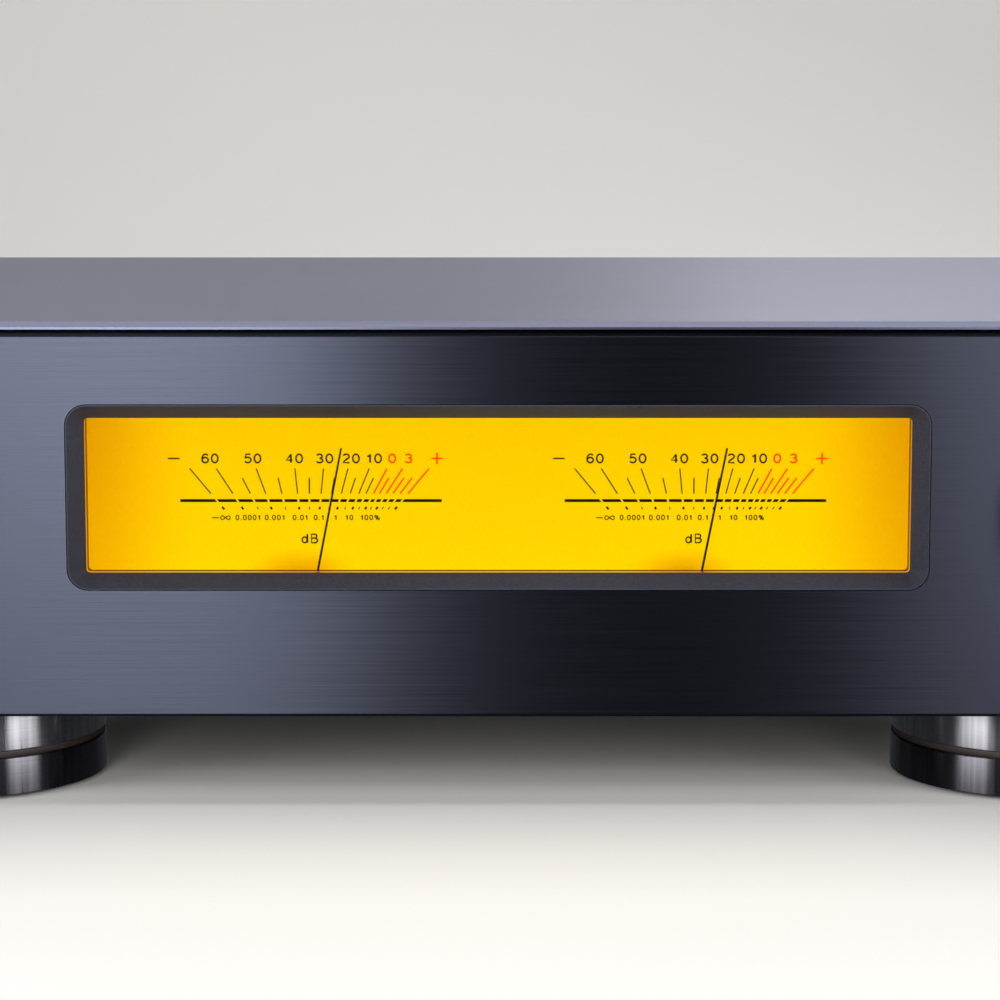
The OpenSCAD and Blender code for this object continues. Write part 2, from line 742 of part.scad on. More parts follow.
module transformer_clamp() {
    z1 = base_t + 2 * pad_rubber_t + toroid_h;
    color("#3a3a3e") translate([0, toroid_y, 0]) {
        for (z = [base_t, z1 - pad_rubber_t]) translate([0, 0, z]) difference() {
            cylinder(r = plate_r + 8, h = pad_rubber_t, $fn = 64);
            translate([0, 0, -1]) cylinder(r = 4 + slack, h = pad_rubber_t + 2);
        }
        translate([0, 0, z1]) difference() {
            cylinder(r = plate_r, h = plate_t, $fn = 64);
            translate([0, 0, -1]) cylinder(r = 4 + slack, h = plate_t + 2);
        }
        translate([0, 0, -3]) cylinder(r = 4, h = z1 + plate_t + 10);
        translate([0, 0, z1 + plate_t]) cylinder(r = 7, h = 6, $fn = 6);
        translate([0, 0, -3]) cylinder(r = 7, h = 3 - eps, $fn = 6);
    }
}

module heat_sinks() {
    color("#2e3036") for (sx = [-1, 1]) {
        translate([sx * (sink_in_x + sink_back_t / 2), (sink_front + sink_rear) / 2, sink_foot_z + sink_h / 2])
            cube([sink_back_t, sink_rear - sink_front, sink_h], center = true);
        for (y = [sink_front : fin_pitch : sink_rear - fin_t])
            translate([sx * (sink_in_x + sink_w / 2), y + fin_t / 2, sink_foot_z + sink_h / 2])
                cube([sink_w, fin_t, sink_h], center = true);
    }
}

module output_transistors() {
    pitch = (sink_rear - sink_front) / 4;
    color("#1c1c1e") for (sx = [-1, 1], i = [0:3])
        translate([sx * (sink_in_x - transistor[0] / 2), sink_front + pitch * (i + 0.5), board_z + 22])
            cube(transistor, center = true);
}

// the two amplifier boards with their relays and small parts, and the pillars that carry them
module amplifier_boards() {
    l = sink_rear - sink_front;
    color("#1f5d3a") for (sx = [-1, 1]) {
        x = sx * (amp_board_x + amp_board_w / 2);
        translate([x, sink_front + l / 2, board_z + board_t / 2]) cube([amp_board_w, l, board_t], center = true);
        for (dx = [-1, 1], dy = [-1, 1])
            translate([x + dx * (amp_board_w / 2 - 5), sink_front + l / 2 + dy * (l / 2 - 6), base_t])
                cylinder(r = 3, h = board_z - base_t + eps, $fn = 6);
        for (i = [0:3]) translate([x - 8, sink_front + 20 + i * (l - 58) / 3, board_z + board_t - eps])
            cylinder(r = 5, h = 13, $fn = 24);
        translate([x - 8, sink_rear - 22, board_z + board_t + 8]) cube([18, 26, 16 + eps], center = true);
    }
}

module supply_board() {
    color("#1f5d3a") {
        translate([-supply_board[0] / 2, supply_y, board_z]) cube(supply_board);
        for (dx = [-1, 1], dy = [6, supply_board[1] - 6])
            translate([dx * (supply_board[0] / 2 - 6), supply_y + dy, base_t])
                cylinder(r = 3, h = board_z - base_t + eps, $fn = 6);
        translate([-8, supply_y + 4, board_z + board_t - eps]) cube([16, 5, 18]);
    }
}

module reservoir_capacitors() {
    color("#20344e") for (sx = [-1, 1], j = [0, 1])
        translate([sx * (supply_board[0] / 4 + 2),
                   supply_y + reservoir_edge + reservoir_d / 2 + j * (reservoir_d + reservoir_gap), board_z + board_t])
            cylinder(d = reservoir_d, h = reservoir_h, $fn = 64);
}

module input_board() {
    y = rear_y - 8 - board_t;
    color("#1f5d3a") block([line_xs[3] - 10, y, line_zs[0] - 12], [line_xs[0] + 10, y + board_t, line_zs[1] + 12]);
}

module wiring() {
    mains_r = 1.6;
    lead_r = 1.4;
    lead_x = 12;
    inlet_y = body_d - inlet_body[1] - 6.5;
    drop_x = supply_board[0] / 2 + mains_r + 2;
    lane_x = (supply_board[0] / 2 + amp_board_x) / 2;
    lane_z = (base_t + board_z) / 2;
    inlet_tag_z = inlet_z - 14;
    toroid_back = toroid_y + toroid_d / 2;
    lead_y = toroid_y + sqrt(pow(toroid_d / 2, 2) - lead_x * lead_x) + lead_r + slack;
    color("#8a1f1f") {
        wire([[inlet_x, inlet_y, inlet_tag_z], [drop_x, inlet_y, inlet_tag_z], [drop_x, inlet_y, lane_z],
              [lane_x, inlet_y - 14, lane_z], [lane_x, toroid_back - 4, lane_z],
              [lane_x - 16, toroid_back - 6, lane_z]], mains_r);
        for (s = [-1, 1])
            wire([[s * lead_x, lead_y, 20], [s * lead_x, lead_y, 60], [s * lead_x, supply_y + 3, 60],
                  [s * lead_x, supply_y + 3, board_z + board_t]], lead_r);
    }
}

// ---- assembly ------------------------------------------------------------------------------

seat() front_panel();
seat() meter_bezel();
seat() window_lens();
seat() dial_plate();
seat() meter_carrier();
seat() light_board();
seat() meter_movement(meter_xs[0]);  // meter_movement_left
seat() meter_movement(meter_xs[1]);  // meter_movement_right
seat() meter_needle(meter_xs[0]);  // meter_needle_left
seat() meter_needle(meter_xs[1]);  // meter_needle_right
seat() meter_coil(meter_xs[0]);  // meter_coil_left
seat() meter_coil(meter_xs[1]);  // meter_coil_right
seat() knob(column_x, volume_z, volume_d, knob_out);  // volume_knob
seat() control_shaft(column_x, volume_z, board_y + 8);  // volume_shaft
seat() volume_potentiometer();
seat() knob(-column_x, input_z, input_d, input_out);  // input_knob
seat() control_shaft(-column_x, input_z, board_y + 6);  // input_shaft
seat() input_switch();
seat() power_button();
seat() power_switch();
seat() headphone_socket();
seat() headphone_ring();
seat() standby_light();
seat() control_boards();
seat() chassis_base();
seat() corner_blocks();
seat() side_panel(-1);  // side_panel_left
seat() side_panel(1);  // side_panel_right
seat() rear_panel();
seat() top_cover();
seat() cover_pads();
seat() panel_screws();
seat() foot_drums();
seat() foot_isolators();
seat() foot_discs();
seat() foot_pads();
seat() foot_bolts();
seat() mains_inlet();
seat() mains_blades();
seat() line_socket_shells();
seat() line_socket_inserts();
seat() terminal_collars();
seat() terminal_studs();
for (i = [0:3]) {
    seat() terminal_ferrule(i);
    seat() terminal_cap(i);
}
seat() transformer();
seat() transformer_clamp();
seat() heat_sinks();
seat() output_transistors();
seat() amplifier_boards();
seat() supply_board();
seat() reservoir_capacitors();
seat() input_board();
seat() wiring();
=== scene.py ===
"""Dresses the amplifier's fixed frame in finished surfaces and adds the pieces that need mesh work."""
import json
import math
from functools import partial

import bmesh
import bpy
from mathutils import Matrix, Vector


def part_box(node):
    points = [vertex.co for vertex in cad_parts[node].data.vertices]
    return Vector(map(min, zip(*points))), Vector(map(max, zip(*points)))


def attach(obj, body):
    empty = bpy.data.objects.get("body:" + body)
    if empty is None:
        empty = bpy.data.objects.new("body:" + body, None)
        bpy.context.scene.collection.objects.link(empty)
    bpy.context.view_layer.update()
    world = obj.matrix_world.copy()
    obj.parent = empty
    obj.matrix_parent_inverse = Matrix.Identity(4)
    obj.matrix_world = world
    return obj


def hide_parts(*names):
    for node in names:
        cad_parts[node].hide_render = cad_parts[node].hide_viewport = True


bl_info = {
    "name": "Twin-Meter Amplifier Finish",
    "version": (1, 0, 0),
    "blender": (4, 5, 0),
    "location": "View3D > Sidebar > Amplifier",
    "description": "Finishes for a compact amplifier with two lit needle meters",
    "category": "Object",
}

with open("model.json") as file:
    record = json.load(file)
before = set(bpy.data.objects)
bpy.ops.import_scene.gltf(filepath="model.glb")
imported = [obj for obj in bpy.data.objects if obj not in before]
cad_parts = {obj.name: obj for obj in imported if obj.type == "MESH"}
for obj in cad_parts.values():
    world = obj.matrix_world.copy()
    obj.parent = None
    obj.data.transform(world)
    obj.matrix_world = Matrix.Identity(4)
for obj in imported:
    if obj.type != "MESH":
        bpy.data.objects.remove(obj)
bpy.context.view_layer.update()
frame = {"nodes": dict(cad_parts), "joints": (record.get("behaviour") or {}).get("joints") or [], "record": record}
NODES = frame["nodes"]
JOINTS = {joint["name"]: joint for joint in frame["joints"]}
MOUNTS = frame["record"]["mounts"]
MM = 0.001

PANEL_LOW, PANEL_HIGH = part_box("front_panel")
LENS_LOW, LENS_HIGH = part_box("window_lens")
DIAL_LOW, DIAL_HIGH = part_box("dial_plate")
FACE_Y = PANEL_LOW.y
TERMINALS = ("right_plus", "right_minus", "left_plus", "left_minus")


# ---- small tools -----------------------------------------------------------------------------

def linear(colour):
    """Turn an sRGB hex colour such as #8090A0 into linear red, green, blue and alpha."""
    parts = [int(colour[i:i + 2], 16) / 255 for i in (1, 3, 5)]
    return [p / 12.92 if p <= 0.04045 else ((p + 0.055) / 1.055) ** 2.4 for p in parts] + [1.0]


def add_node(tree, kind, settings=None, links=None):
    """Add a shader node, set its attributes and sockets, and link its inputs to other sockets."""
    made = tree.nodes.new(kind)
    for key, value in (settings or {}).items():
        if isinstance(key, str) and hasattr(made, key):
            setattr(made, key, value)
        else:
            made.inputs[key].default_value = value
    for key, source in (links or {}).items():
        tree.links.new(source, made.inputs[key])
    return made


def connect(tree, shader, **sources):
    """Link sockets to the shader's inputs; an underscore in a name stands for a space."""
    for key, source in sources.items():
        tree.links.new(source, shader.inputs[key.replace("_", " ")])


def noise(tree, vector, scale, detail=2.0, roughness=0.5):
    """Add a noise texture and return its value."""
    return add_node(tree, "ShaderNodeTexNoise", {"Scale": scale, "Detail": detail, "Roughness": roughness},
                    {"Vector": vector}).outputs["Fac"]


def stretch(tree, vector, scale):
    """Scale a texture's coordinates."""
    return add_node(tree, "ShaderNodeMapping", {"Scale": scale}, {"Vector": vector}).outputs["Vector"]


def add_share(tree, source, share, onto):
    """Add a share of one value to another."""
    return add_node(tree, "ShaderNodeMath", {"operation": "MULTIPLY_ADD", 1: share},
                    {0: source, 2: onto}).outputs["Value"]


def remap(tree, source, low, high, start, end):
    """Map the range from low to high onto the range from start to end."""
    return add_node(tree, "ShaderNodeMapRange", {"From Min": low, "From Max": high, "To Min": start, "To Max": end},
                    {"Value": source}).outputs["Result"]


def relief(tree, height, strength, depth):
    """Turn a value into fine relief; depth in millimetres."""
    return add_node(tree, "ShaderNodeBump", {"Strength": strength, "Distance": depth * MM},
                    {"Height": height}).outputs["Normal"]


def start_material(name, colour, roughness, metallic=0.0, **sockets):
    """Make a material whose shader has these plain values, and return it with its tree and shader."""
    material = bpy.data.materials.new(name)
    material.use_nodes = True
    tree = material.node_tree
    shader = tree.nodes["Principled BSDF"]
    shader.inputs["Base Color"].default_value = linear(colour)
    shader.inputs["Roughness"].default_value = roughness
    shader.inputs["Metallic"].default_value = metallic
    for key, value in sockets.items():
        shader.inputs[key.replace("_", " ")].default_value = value
    material.diffuse_color = linear(colour)
    return material, tree, shader


def ramp_between(tree, source, stops):
    """Add a colour ramp with these (position, hex colour) stops, driven by a socket."""
    ramp = add_node(tree, "ShaderNodeValToRGB", links={"Fac": source})
    elements = ramp.color_ramp.elements
    for index, (position, colour) in enumerate(stops):
        element = elements[index] if index < 2 else elements.new(position)
        element.position = position
        element.color = linear(colour)
    return ramp.outputs["Color"]


def dress(node, material):
    """Give a CAD node a finished material."""
    slots = NODES[node].data.materials
    slots.clear()
    slots.append(material)


def dress_all(table):
    """Give each CAD node in a table its material."""
    for node, material in table.items():
        dress(node, material)


def make_piece(bm, name, material, body, replaces=(), sharp=32):
    """Turn a bmesh into a finished piece that rides on a body."""
    bm.normal_update()
    mesh = bpy.data.meshes.new(name)
    bm.to_mesh(mesh)
    bm.free()
    mesh.materials.append(material)
    mesh.shade_smooth()
    mesh.set_sharp_from_angle(angle=math.radians(sharp))
    piece = bpy.data.objects.new(name, mesh)
    bpy.context.scene.collection.objects.link(piece)
    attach(piece, body)
    if replaces:
        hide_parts(*replaces)
    return piece


def sharp_edges(bm, angle=30):
    """Edges between two faces that turn by more than this angle."""
    limit = math.radians(angle)
    return [e for e in bm.edges if len(e.link_faces) == 2 and e.calc_face_angle(0) > limit]


def soften(bm, width, segments=2, angle=30):
    """Bevel every sharp edge."""
    bmesh.ops.bevel(bm, geom=sharp_edges(bm, angle), offset=width, offset_type="OFFSET", segments=segments,
                    profile=0.5, affect="EDGES", clamp_overlap=True, material=-1)


def turn_profile(profile, steps=96, closed=False, bevel=0.0, segments=2):
    """Spin (radius, height) points in millimetres about Z, with rounded corners and a wrapped UV map."""
    bm = bmesh.new()
    points = [bm.verts.new((r * MM, 0, h * MM)) for r, h in profile]
    edges = [bm.edges.new(pair) for pair in zip(points, points[1:])]
    if closed:
        edges.append(bm.edges.new((points[-1], points[0])))
    bmesh.ops.spin(bm, geom=points + edges, cent=(0, 0, 0), axis=(0, 0, 1), angle=math.tau, steps=steps,
                   use_merge=True, use_duplicate=False)
    bmesh.ops.remove_doubles(bm, verts=bm.verts, dist=1e-6)
    bmesh.ops.recalc_face_normals(bm, faces=bm.faces)
    if bevel:
        soften(bm, bevel * MM, segments)
    wrap_uv(bm)
    return bm


def wrap_uv(bm):
    """U runs once round the Z axis and V runs along the profile, in metres."""
    layer = bm.loops.layers.uv.new("wrap")
    for face in bm.faces:
        middle = face.calc_center_median()
        facing = math.atan2(middle.y, middle.x)
        for loop in face.loops:
            x, y, z = loop.vert.co
            radius = math.hypot(x, y)
            turn = facing if radius < 1e-7 else math.atan2(y, x)
            turn += math.tau * round((facing - turn) / math.tau)
            loop[layer].uv = (turn / math.tau, z - radius)


def axis_point(low, high, y):
    """Point at depth y on the middle line of a box that runs along Y."""
    return Vector(((low.x + high.x) / 2, y, (low.z + high.z) / 2))


def place(bm, centre, towards):
    """Move a turned piece from the origin to its centre, with its Z axis pointing along a row axis."""
    turned = Vector((0, 0, 1)).rotation_difference(Vector(towards)).to_matrix().to_4x4()
    bmesh.ops.transform(bm, matrix=Matrix.Translation(centre) @ turned, verts=bm.verts)
    return bm


def add_box(bm, low, high, bevel=0.0, segments=2):
    """Add a box between two corners to a bmesh."""
    size = Vector(high) - Vector(low)
    middle = (Vector(high) + Vector(low)) / 2
    matrix = Matrix.Translation(middle) @ Matrix.Diagonal((*size, 1.0))
    made = bmesh.ops.create_cube(bm, size=1.0, matrix=matrix)["verts"]
    if bevel:
        edges = list({e for v in made for e in v.link_edges})
        bmesh.ops.bevel(bm, geom=edges, offset=bevel, offset_type="OFFSET", segments=segments, profile=0.5,
                        affect="EDGES", clamp_overlap=True, material=-1)


def ring(count, height, radius):
    """Points round the Z axis; radius is in millimetres, or gives one for each angle."""
    turns = [math.tau * step / count for step in range(count)]
    reach = [(radius(turn) if callable(radius) else radius) * MM for turn in turns]
    return [Vector((r * math.cos(t), r * math.sin(t), height * MM)) for r, t in zip(reach, turns)]


def rounded_ring(width, height, radius, y, centre, steps=10):
    """Points round an upright rectangle with round corners, all in metres."""
    points = []
    for quarter, (side, up) in enumerate(((1, 1), (-1, 1), (-1, -1), (1, -1))):
        corner = Vector((centre.x + side * (width / 2 - radius), y, centre.z + up * (height / 2 - radius)))
        for step in range(steps + 1):
            turn = (quarter + step / steps) * math.pi / 2
            points.append(corner + radius * Vector((math.cos(turn), 0, math.sin(turn))))
    return points


def loft(bm, rings):
    """Extrude a ring of edges from one set of points to the next, and last back to the first: a closed skin."""
    verts = [bm.verts.new(point) for point in rings[0]]
    edges = [bm.edges.new(pair) for pair in zip(verts, verts[1:] + verts[:1])]
    for points in (*rings[1:], rings[0]):
        made = bmesh.ops.extrude_edge_only(bm, edges=edges)["geom"]
        fresh = {part for part in made if isinstance(part, bmesh.types.BMVert)}
        verts = [next(e.other_vert(v) for e in v.link_edges if e.other_vert(v) in fresh) for v in verts]
        edges = [part for part in made if isinstance(part, bmesh.types.BMEdge) and fresh.issuperset(part.verts)]
        for vert, point in zip(verts, points):
            vert.co = point
    bmesh.ops.remove_doubles(bm, verts=bm.verts, dist=1e-6)
    bmesh.ops.recalc_face_normals(bm, faces=bm.faces)


# ---- materials -------------------------------------------------------------------------------

# how many times longer than wide a brushed line is
LINE_LENGTH = 260


def brushed_aluminium(name, dark, light, along, roughness, streak=0.2, anisotropy=0.8):
    """Anodised aluminium, brushed in one direction: long fine lines that smear highlights across them.

    The real lines are a few hundredths of a millimetre wide; streak, in millimetres, is the width
    that still shows at arm's length."""
    material, tree, shader = start_material(name, dark, roughness, 1.0, Anisotropic=anisotropy)
    place_on = add_node(tree, "ShaderNodeTexCoord").outputs["Object"]
    across = 1 / (streak * MM)
    lines = stretch(tree, place_on, [across if axis != along else across / LINE_LENGTH for axis in "XYZ"])
    fine = noise(tree, lines, 1.0, 4.0, 0.7)
    mixed = add_share(tree, noise(tree, place_on, 9.0), 0.2, fine)
    grain = add_node(tree, "ShaderNodeTangent", {"direction_type": "RADIAL", "axis": along})
    connect(tree, shader, Base_Color=ramp_between(tree, mixed, [(0.35, dark), (0.85, light)]),
            Roughness=remap(tree, fine, 0.3, 0.8, roughness - 0.03, roughness + 0.05),
            Normal=relief(tree, fine, 0.1, 0.01), Tangent=grain.outputs["Tangent"])
    return material


def turned_metal(name, dark, light, roughness, groove=0.12, anisotropy=0.75, lines=90):
    """Metal cut on a lathe: fine grooves round the axis, which draw highlights out into bands across them.

    groove is the width of one cut in millimetres; lines is how many faint bands run across the grooves
    in one turn, where the cutter chattered."""
    material, tree, shader = start_material(name, dark, roughness, 1.0, Anisotropic=anisotropy,
                                            Anisotropic_Rotation=0.25)
    wrapped = add_node(tree, "ShaderNodeUVMap", {"uv_map": "wrap"}).outputs["UV"]
    cuts = noise(tree, stretch(tree, wrapped, (3.0, 1 / (groove * MM), 1.0)), 1.0, 2.0, 0.6)
    chatter = noise(tree, stretch(tree, wrapped, (lines, 8.0, 1.0)), 1.0, 3.0, 0.6)
    fine = add_share(tree, cuts, 0.4, chatter)
    grain = add_node(tree, "ShaderNodeTangent", {"direction_type": "UV_MAP", "uv_map": "wrap"})
    connect(tree, shader, Base_Color=ramp_between(tree, fine, [(0.45, dark), (0.95, light)]),
            Roughness=remap(tree, chatter, 0.3, 0.7, roughness - 0.04, roughness + 0.05),
            Normal=relief(tree, cuts, 0.08, 0.01), Tangent=grain.outputs["Tangent"])
    return material


def grained(name, dark, light, roughness, grain, metallic=0.0, bump_depth=0.05, **sockets):
    """A surface with an even grain: moulded plastic, powder coat, rubber, felt or cast metal.

    grain is the size of one speckle in millimetres, bump_depth its height in millimetres."""
    material, tree, shader = start_material(name, dark, roughness, metallic, **sockets)
    place_on = add_node(tree, "ShaderNodeTexCoord").outputs["Object"]
    speckle = noise(tree, place_on, 1 / (grain * MM), 2.0, 0.6)
    mixed = add_share(tree, noise(tree, place_on, 25.0), 0.3, speckle)
    connect(tree, shader, Base_Color=ramp_between(tree, mixed, [(0.4, dark), (0.9, light)]),
            Roughness=remap(tree, speckle, 0.3, 0.7, max(roughness - 0.06, 0.02), roughness + 0.06),
            Normal=relief(tree, speckle, 0.6, bump_depth))
    return material


def lit_dial():
    """Amber printed film over a white diffuser with lamps behind, its glow painted uneven: brightest low in the middle,
    deeper towards the top, deepest at the ends and in a painted shadow round each pivot.
    """
    look = bpy.context.scene.amp_meters
    material, tree, shader = start_material("amber_dial_film", "#3A2600", 0.6, Specular_IOR_Level=0.0)
    place_on = add_node(tree, "ShaderNodeTexCoord").outputs["Object"]
    centre, half = (LENS_LOW + LENS_HIGH) / 2, (LENS_HIGH - LENS_LOW) / 2
    across = add_node(tree, "ShaderNodeMapping", {"vector_type": "TEXTURE", "Location": (centre.x, 0, centre.z),
                                                  "Scale": (half.x, 1, half.z)}, {"Vector": place_on})
    split = add_node(tree, "ShaderNodeSeparateXYZ", links={"Vector": across.outputs["Vector"]})
    side = add_node(tree, "ShaderNodeMath", {"operation": "ABSOLUTE"}, {0: split.outputs["X"]})
    ends = add_node(tree, "ShaderNodeMapRange", {"interpolation_type": "SMOOTHSTEP", "From Min": 0.72, "From Max": 1.06,
                                                 "To Max": 0.75}, {"Value": side.outputs["Value"]})
    rise = add_node(tree, "ShaderNodeMapRange", {"From Min": -1.0, "From Max": 1.0, "To Max": 0.26},
                    {"Value": split.outputs["Z"]})
    shade = add_node(tree, "ShaderNodeMath", {"operation": "ADD"},
                     {0: ends.outputs["Result"], 1: rise.outputs["Result"]}).outputs["Value"]
    # Painted shadow of each needle's pivot: the glow deepens in an oval centred just below the window, next to the
    # pivot.
    for meter in ("left", "right"):
        pivot = JOINTS["needle_" + meter]["pos_m"]
        spot = add_node(tree, "ShaderNodeMapping", {
            "vector_type": "TEXTURE", "Location": (pivot[0] - 1.9 * MM, 0, LENS_LOW.z - 1.5 * MM),
            "Scale": (14 * MM, 1, 7 * MM)}, {"Vector": place_on})
        flat = add_node(tree, "ShaderNodeVectorMath", {"operation": "MULTIPLY", 1: (1, 0, 1)},
                        {0: spot.outputs["Vector"]})
        away = add_node(tree, "ShaderNodeVectorMath", {"operation": "LENGTH"}, {0: flat.outputs["Vector"]})
        pivot_painted_shadow = add_node(tree, "ShaderNodeMapRange", {"interpolation_type": "SMOOTHSTEP", "From Min": 1.0,
                                                     "From Max": 0.0, "To Max": 0.95}, {"Value": away.outputs["Value"]})
        shade = add_node(tree, "ShaderNodeMath", {"operation": "ADD"},
                         {0: shade, 1: pivot_painted_shadow.outputs["Result"]}).outputs["Value"]
    glow = ramp_between(tree, shade, [(0.0, look.glow_middle), (1.0, look.glow_edge), (0.4, look.glow_between)])
    connect(tree, shader, Emission_Color=glow)
    shader.inputs["Emission Strength"].default_value = look.glow_strength
    return material


def clear_glass():
    """Float glass with an anti-reflection coating: clear, and the room hardly shows in it."""
    material, tree, shader = start_material("coated_window_glass", "#FFFFFF", 0.0, Transmission_Weight=1.0, IOR=1.06)
    place_on = add_node(tree, "ShaderNodeTexCoord").outputs["Object"]
    connect(tree, shader, Roughness=remap(tree, noise(tree, place_on, 400.0, 3.0), 0.6, 0.9, 0.0, 0.03))
    return material


def backlit_or_painted_glow(name, dark, light, grain, strength, roughness=0.3, **sockets):
    """Coloured lens or ink that lets lamp light through, or a painted glow on a part no lamp lights: it glows a little
    unevenly, grain in millimetres.
    """
    material, tree, shader = start_material(name, dark, roughness, **sockets)
    place_on = add_node(tree, "ShaderNodeTexCoord").outputs["Object"]
    cloud = noise(tree, place_on, 1 / (grain * MM))
    glow = ramp_between(tree, cloud, [(0.3, dark), (0.7, light)])
    connect(tree, shader, Base_Color=glow, Emission_Color=glow)
    shader.inputs["Emission Strength"].default_value = strength
    return material


# ---- settings --------------------------------------------------------------------------------

length = partial(bpy.props.FloatProperty, subtype="DISTANCE", unit="LENGTH")
power = partial(bpy.props.FloatProperty, unit="POWER")


class AMP_PG_casing(bpy.types.PropertyGroup):
    """Colours of the casing."""
    panel_dark: bpy.props.StringProperty(name="Panel, dark", description="Dark anodised tone", default="#32353F")
    panel_light: bpy.props.StringProperty(name="Panel, light", description="Light anodised tone", default="#424551")
    cover_dark: bpy.props.StringProperty(name="Cover, dark", description="Dark tone of the cover", default="#515364")
    cover_light: bpy.props.StringProperty(name="Cover, light", description="Light tone of the cover", default="#6B6D80")
    lip: length(name="Surround lip", description="Flat rim round the sloping window surround", default=0.35 * MM)
    flange: length(name="Surround flange", description="Width of the flange behind the panel", default=4.5 * MM)
    corner: length(name="Surround corner", description="Corner radius of the window surround", default=4.5 * MM)
    slope: length(name="Surround slope", description="Depth of the surround's sloping face", default=4.0 * MM)


class AMP_PG_meters(bpy.types.PropertyGroup):
    """Print and glow of the dials."""
    glow_middle: bpy.props.StringProperty(name="Glow, bright", description="Brightest amber", default="#FFD800")
    glow_between: bpy.props.StringProperty(name="Glow, between", description="Middle amber", default="#FDC000")
    glow_edge: bpy.props.StringProperty(name="Glow, deep", description="Deepest amber", default="#E29600")
    glow_strength: bpy.props.FloatProperty(name="Glow", description="Emission strength", default=0.97, min=0.0)
    ink: bpy.props.StringProperty(name="Ink", description="Dark print", default="#120602")
    red: bpy.props.StringProperty(name="Red ink", description="Print of the overload zone", default="#CC1A02")
    digit_height: length(name="Digits", description="Height of the large digits", default=2.25 * MM)
    small_height: length(name="Small digits", description="Height of the small digits", default=1.25 * MM)
    needle_root: length(name="Needle, root", description="Width of a needle near its pivot", default=0.5 * MM)
    needle_tip: length(name="Needle, tip", description="Width of a needle at its tip", default=0.38 * MM)


class AMP_PG_stage(bpy.types.PropertyGroup):
    """Camera and lights."""
    distance: length(name="Distance", description="From the front face to the camera", default=0.6229)
    height: length(name="Height", description="Camera above the panel's lower edge", default=0.126)
    pitch: bpy.props.FloatProperty(name="Pitch", description="Camera tilt below level", default=math.radians(7.25),
                                   subtype="ANGLE", unit="ROTATION")
    lens: bpy.props.FloatProperty(name="Lens", description="Focal length in millimetres", default=106.7)
    floor: bpy.props.StringProperty(name="Floor", description="Colour of the floor", default="#E8E6E2")
    front: power(name="Front", description="Power of the light left of the camera", default=6.0)
    strips: power(name="Strips", description="Power of each side strip", default=8.0)
    top: power(name="Top", description="Power of the overhead light", default=16.0)
    wash: power(name="Wash", description="Power of the light on the backdrop", default=12.0)


# ---- casing ----------------------------------------------------------------------------------

class AMP_OT_casing(bpy.types.Operator):
    """Finish the panels, the cover, the base and the corner blocks"""
    bl_idname = "amp.casing"
    bl_label = "Casing"

    def execute(self, context):
        look = context.scene.amp_casing
        front = brushed_aluminium("brushed_anodised_front", look.panel_dark, look.panel_light, "X", 0.3,
                                  anisotropy=0.95)
        cover = brushed_aluminium("brushed_anodised_cover", look.cover_dark, look.cover_light, "X", 0.34)
        side = brushed_aluminium("brushed_anodised_side", look.cover_dark, look.cover_light, "Y", 0.34)
        powder = grained("powder_coated_steel", "#141416", "#26262A", 0.5, 0.35)
        mill = brushed_aluminium("extruded_aluminium_block", "#A8A8AC", "#D0D0D4", "Z", 0.3)
        rubber = grained("moulded_cover_rubber", "#0C0C0C", "#1C1C1C", 0.7, 0.3)
        dress_all({"front_panel": front, "top_cover": cover, "side_panel_left": side,
                   "side_panel_right": side, "chassis_base": powder, "rear_panel": powder,
                   "corner_blocks": mill, "cover_pads": rubber})
        return {"FINISHED"}


class AMP_OT_surround(bpy.types.Operator):
    """Loft the sloping window surround, from its thin rim to the flange behind the panel, and finish the glass"""
    bl_idname = "amp.surround"
    bl_label = "Window Surround"

    def execute(self, context):
        look = context.scene.amp_casing
        low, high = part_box("meter_bezel")
        centre = (low + high) / 2
        wide, tall = high.x - low.x - 2 * look.flange, high.z - low.z - 2 * look.flange
        glass = LENS_HIGH - LENS_LOW + Vector((0.2, 0, 0.2)) * MM
        edge, ledge = 0.12 * MM, look.slope + 0.2 * MM
        section = (
            (wide, tall, look.corner, edge), (wide - 2 * edge, tall - 2 * edge, look.corner - edge, 0),
            (wide - 2 * look.lip, tall - 2 * look.lip, look.corner - look.lip, 0),
            (glass.x + 2 * edge, glass.z + 2 * edge, 0.9 * MM + edge, look.slope - edge),
            (glass.x, glass.z, 0.9 * MM, look.slope + edge), (glass.x, glass.z, 0.9 * MM, high.y - low.y),
            (high.x - low.x, high.z - low.z, 2 * MM, high.y - low.y), (high.x - low.x, high.z - low.z, 2 * MM, ledge),
            (wide, tall, look.corner, ledge))
        bm = bmesh.new()
        loft(bm, [rounded_ring(w, h, r, low.y + deep, centre) for w, h, r, deep in section])
        # A thin sheet just inside the window's wall, from the foot of the slope back to the dial, glows dark amber: a
        # painted reflection of the dial's light on that wall.
        tube = ((0.09, look.slope + 0.15 * MM), (0.09, DIAL_LOW.y - low.y - 0.05 * MM),
                (0.16, DIAL_LOW.y - low.y - 0.05 * MM), (0.16, look.slope + 0.15 * MM))
        liner = bmesh.new()
        loft(liner, [rounded_ring(glass.x - 2 * inset * MM + 0.2 * MM, glass.z - 2 * inset * MM + 0.2 * MM, 0.9 * MM,
                                  low.y + deep, centre) for inset, deep in tube])
        amber = backlit_or_painted_glow("painted_dial_glow_skin", "#4A2000", "#642E00", 0.8, 0.4, 0.5)
        make_piece(liner, "painted_glow_window_wall", amber, "casing")
        paint = grained("sprayed_satin_lacquer", "#161A24", "#303546", 0.5, 0.4, bump_depth=0.05,
                        Specular_IOR_Level=0.3)
        make_piece(bm, "surround_lofted", paint, "casing", ["meter_bezel"], sharp=24)
        dress("window_lens", clear_glass())
        return {"FINISHED"}


# ---- meters ----------------------------------------------------------------------------------

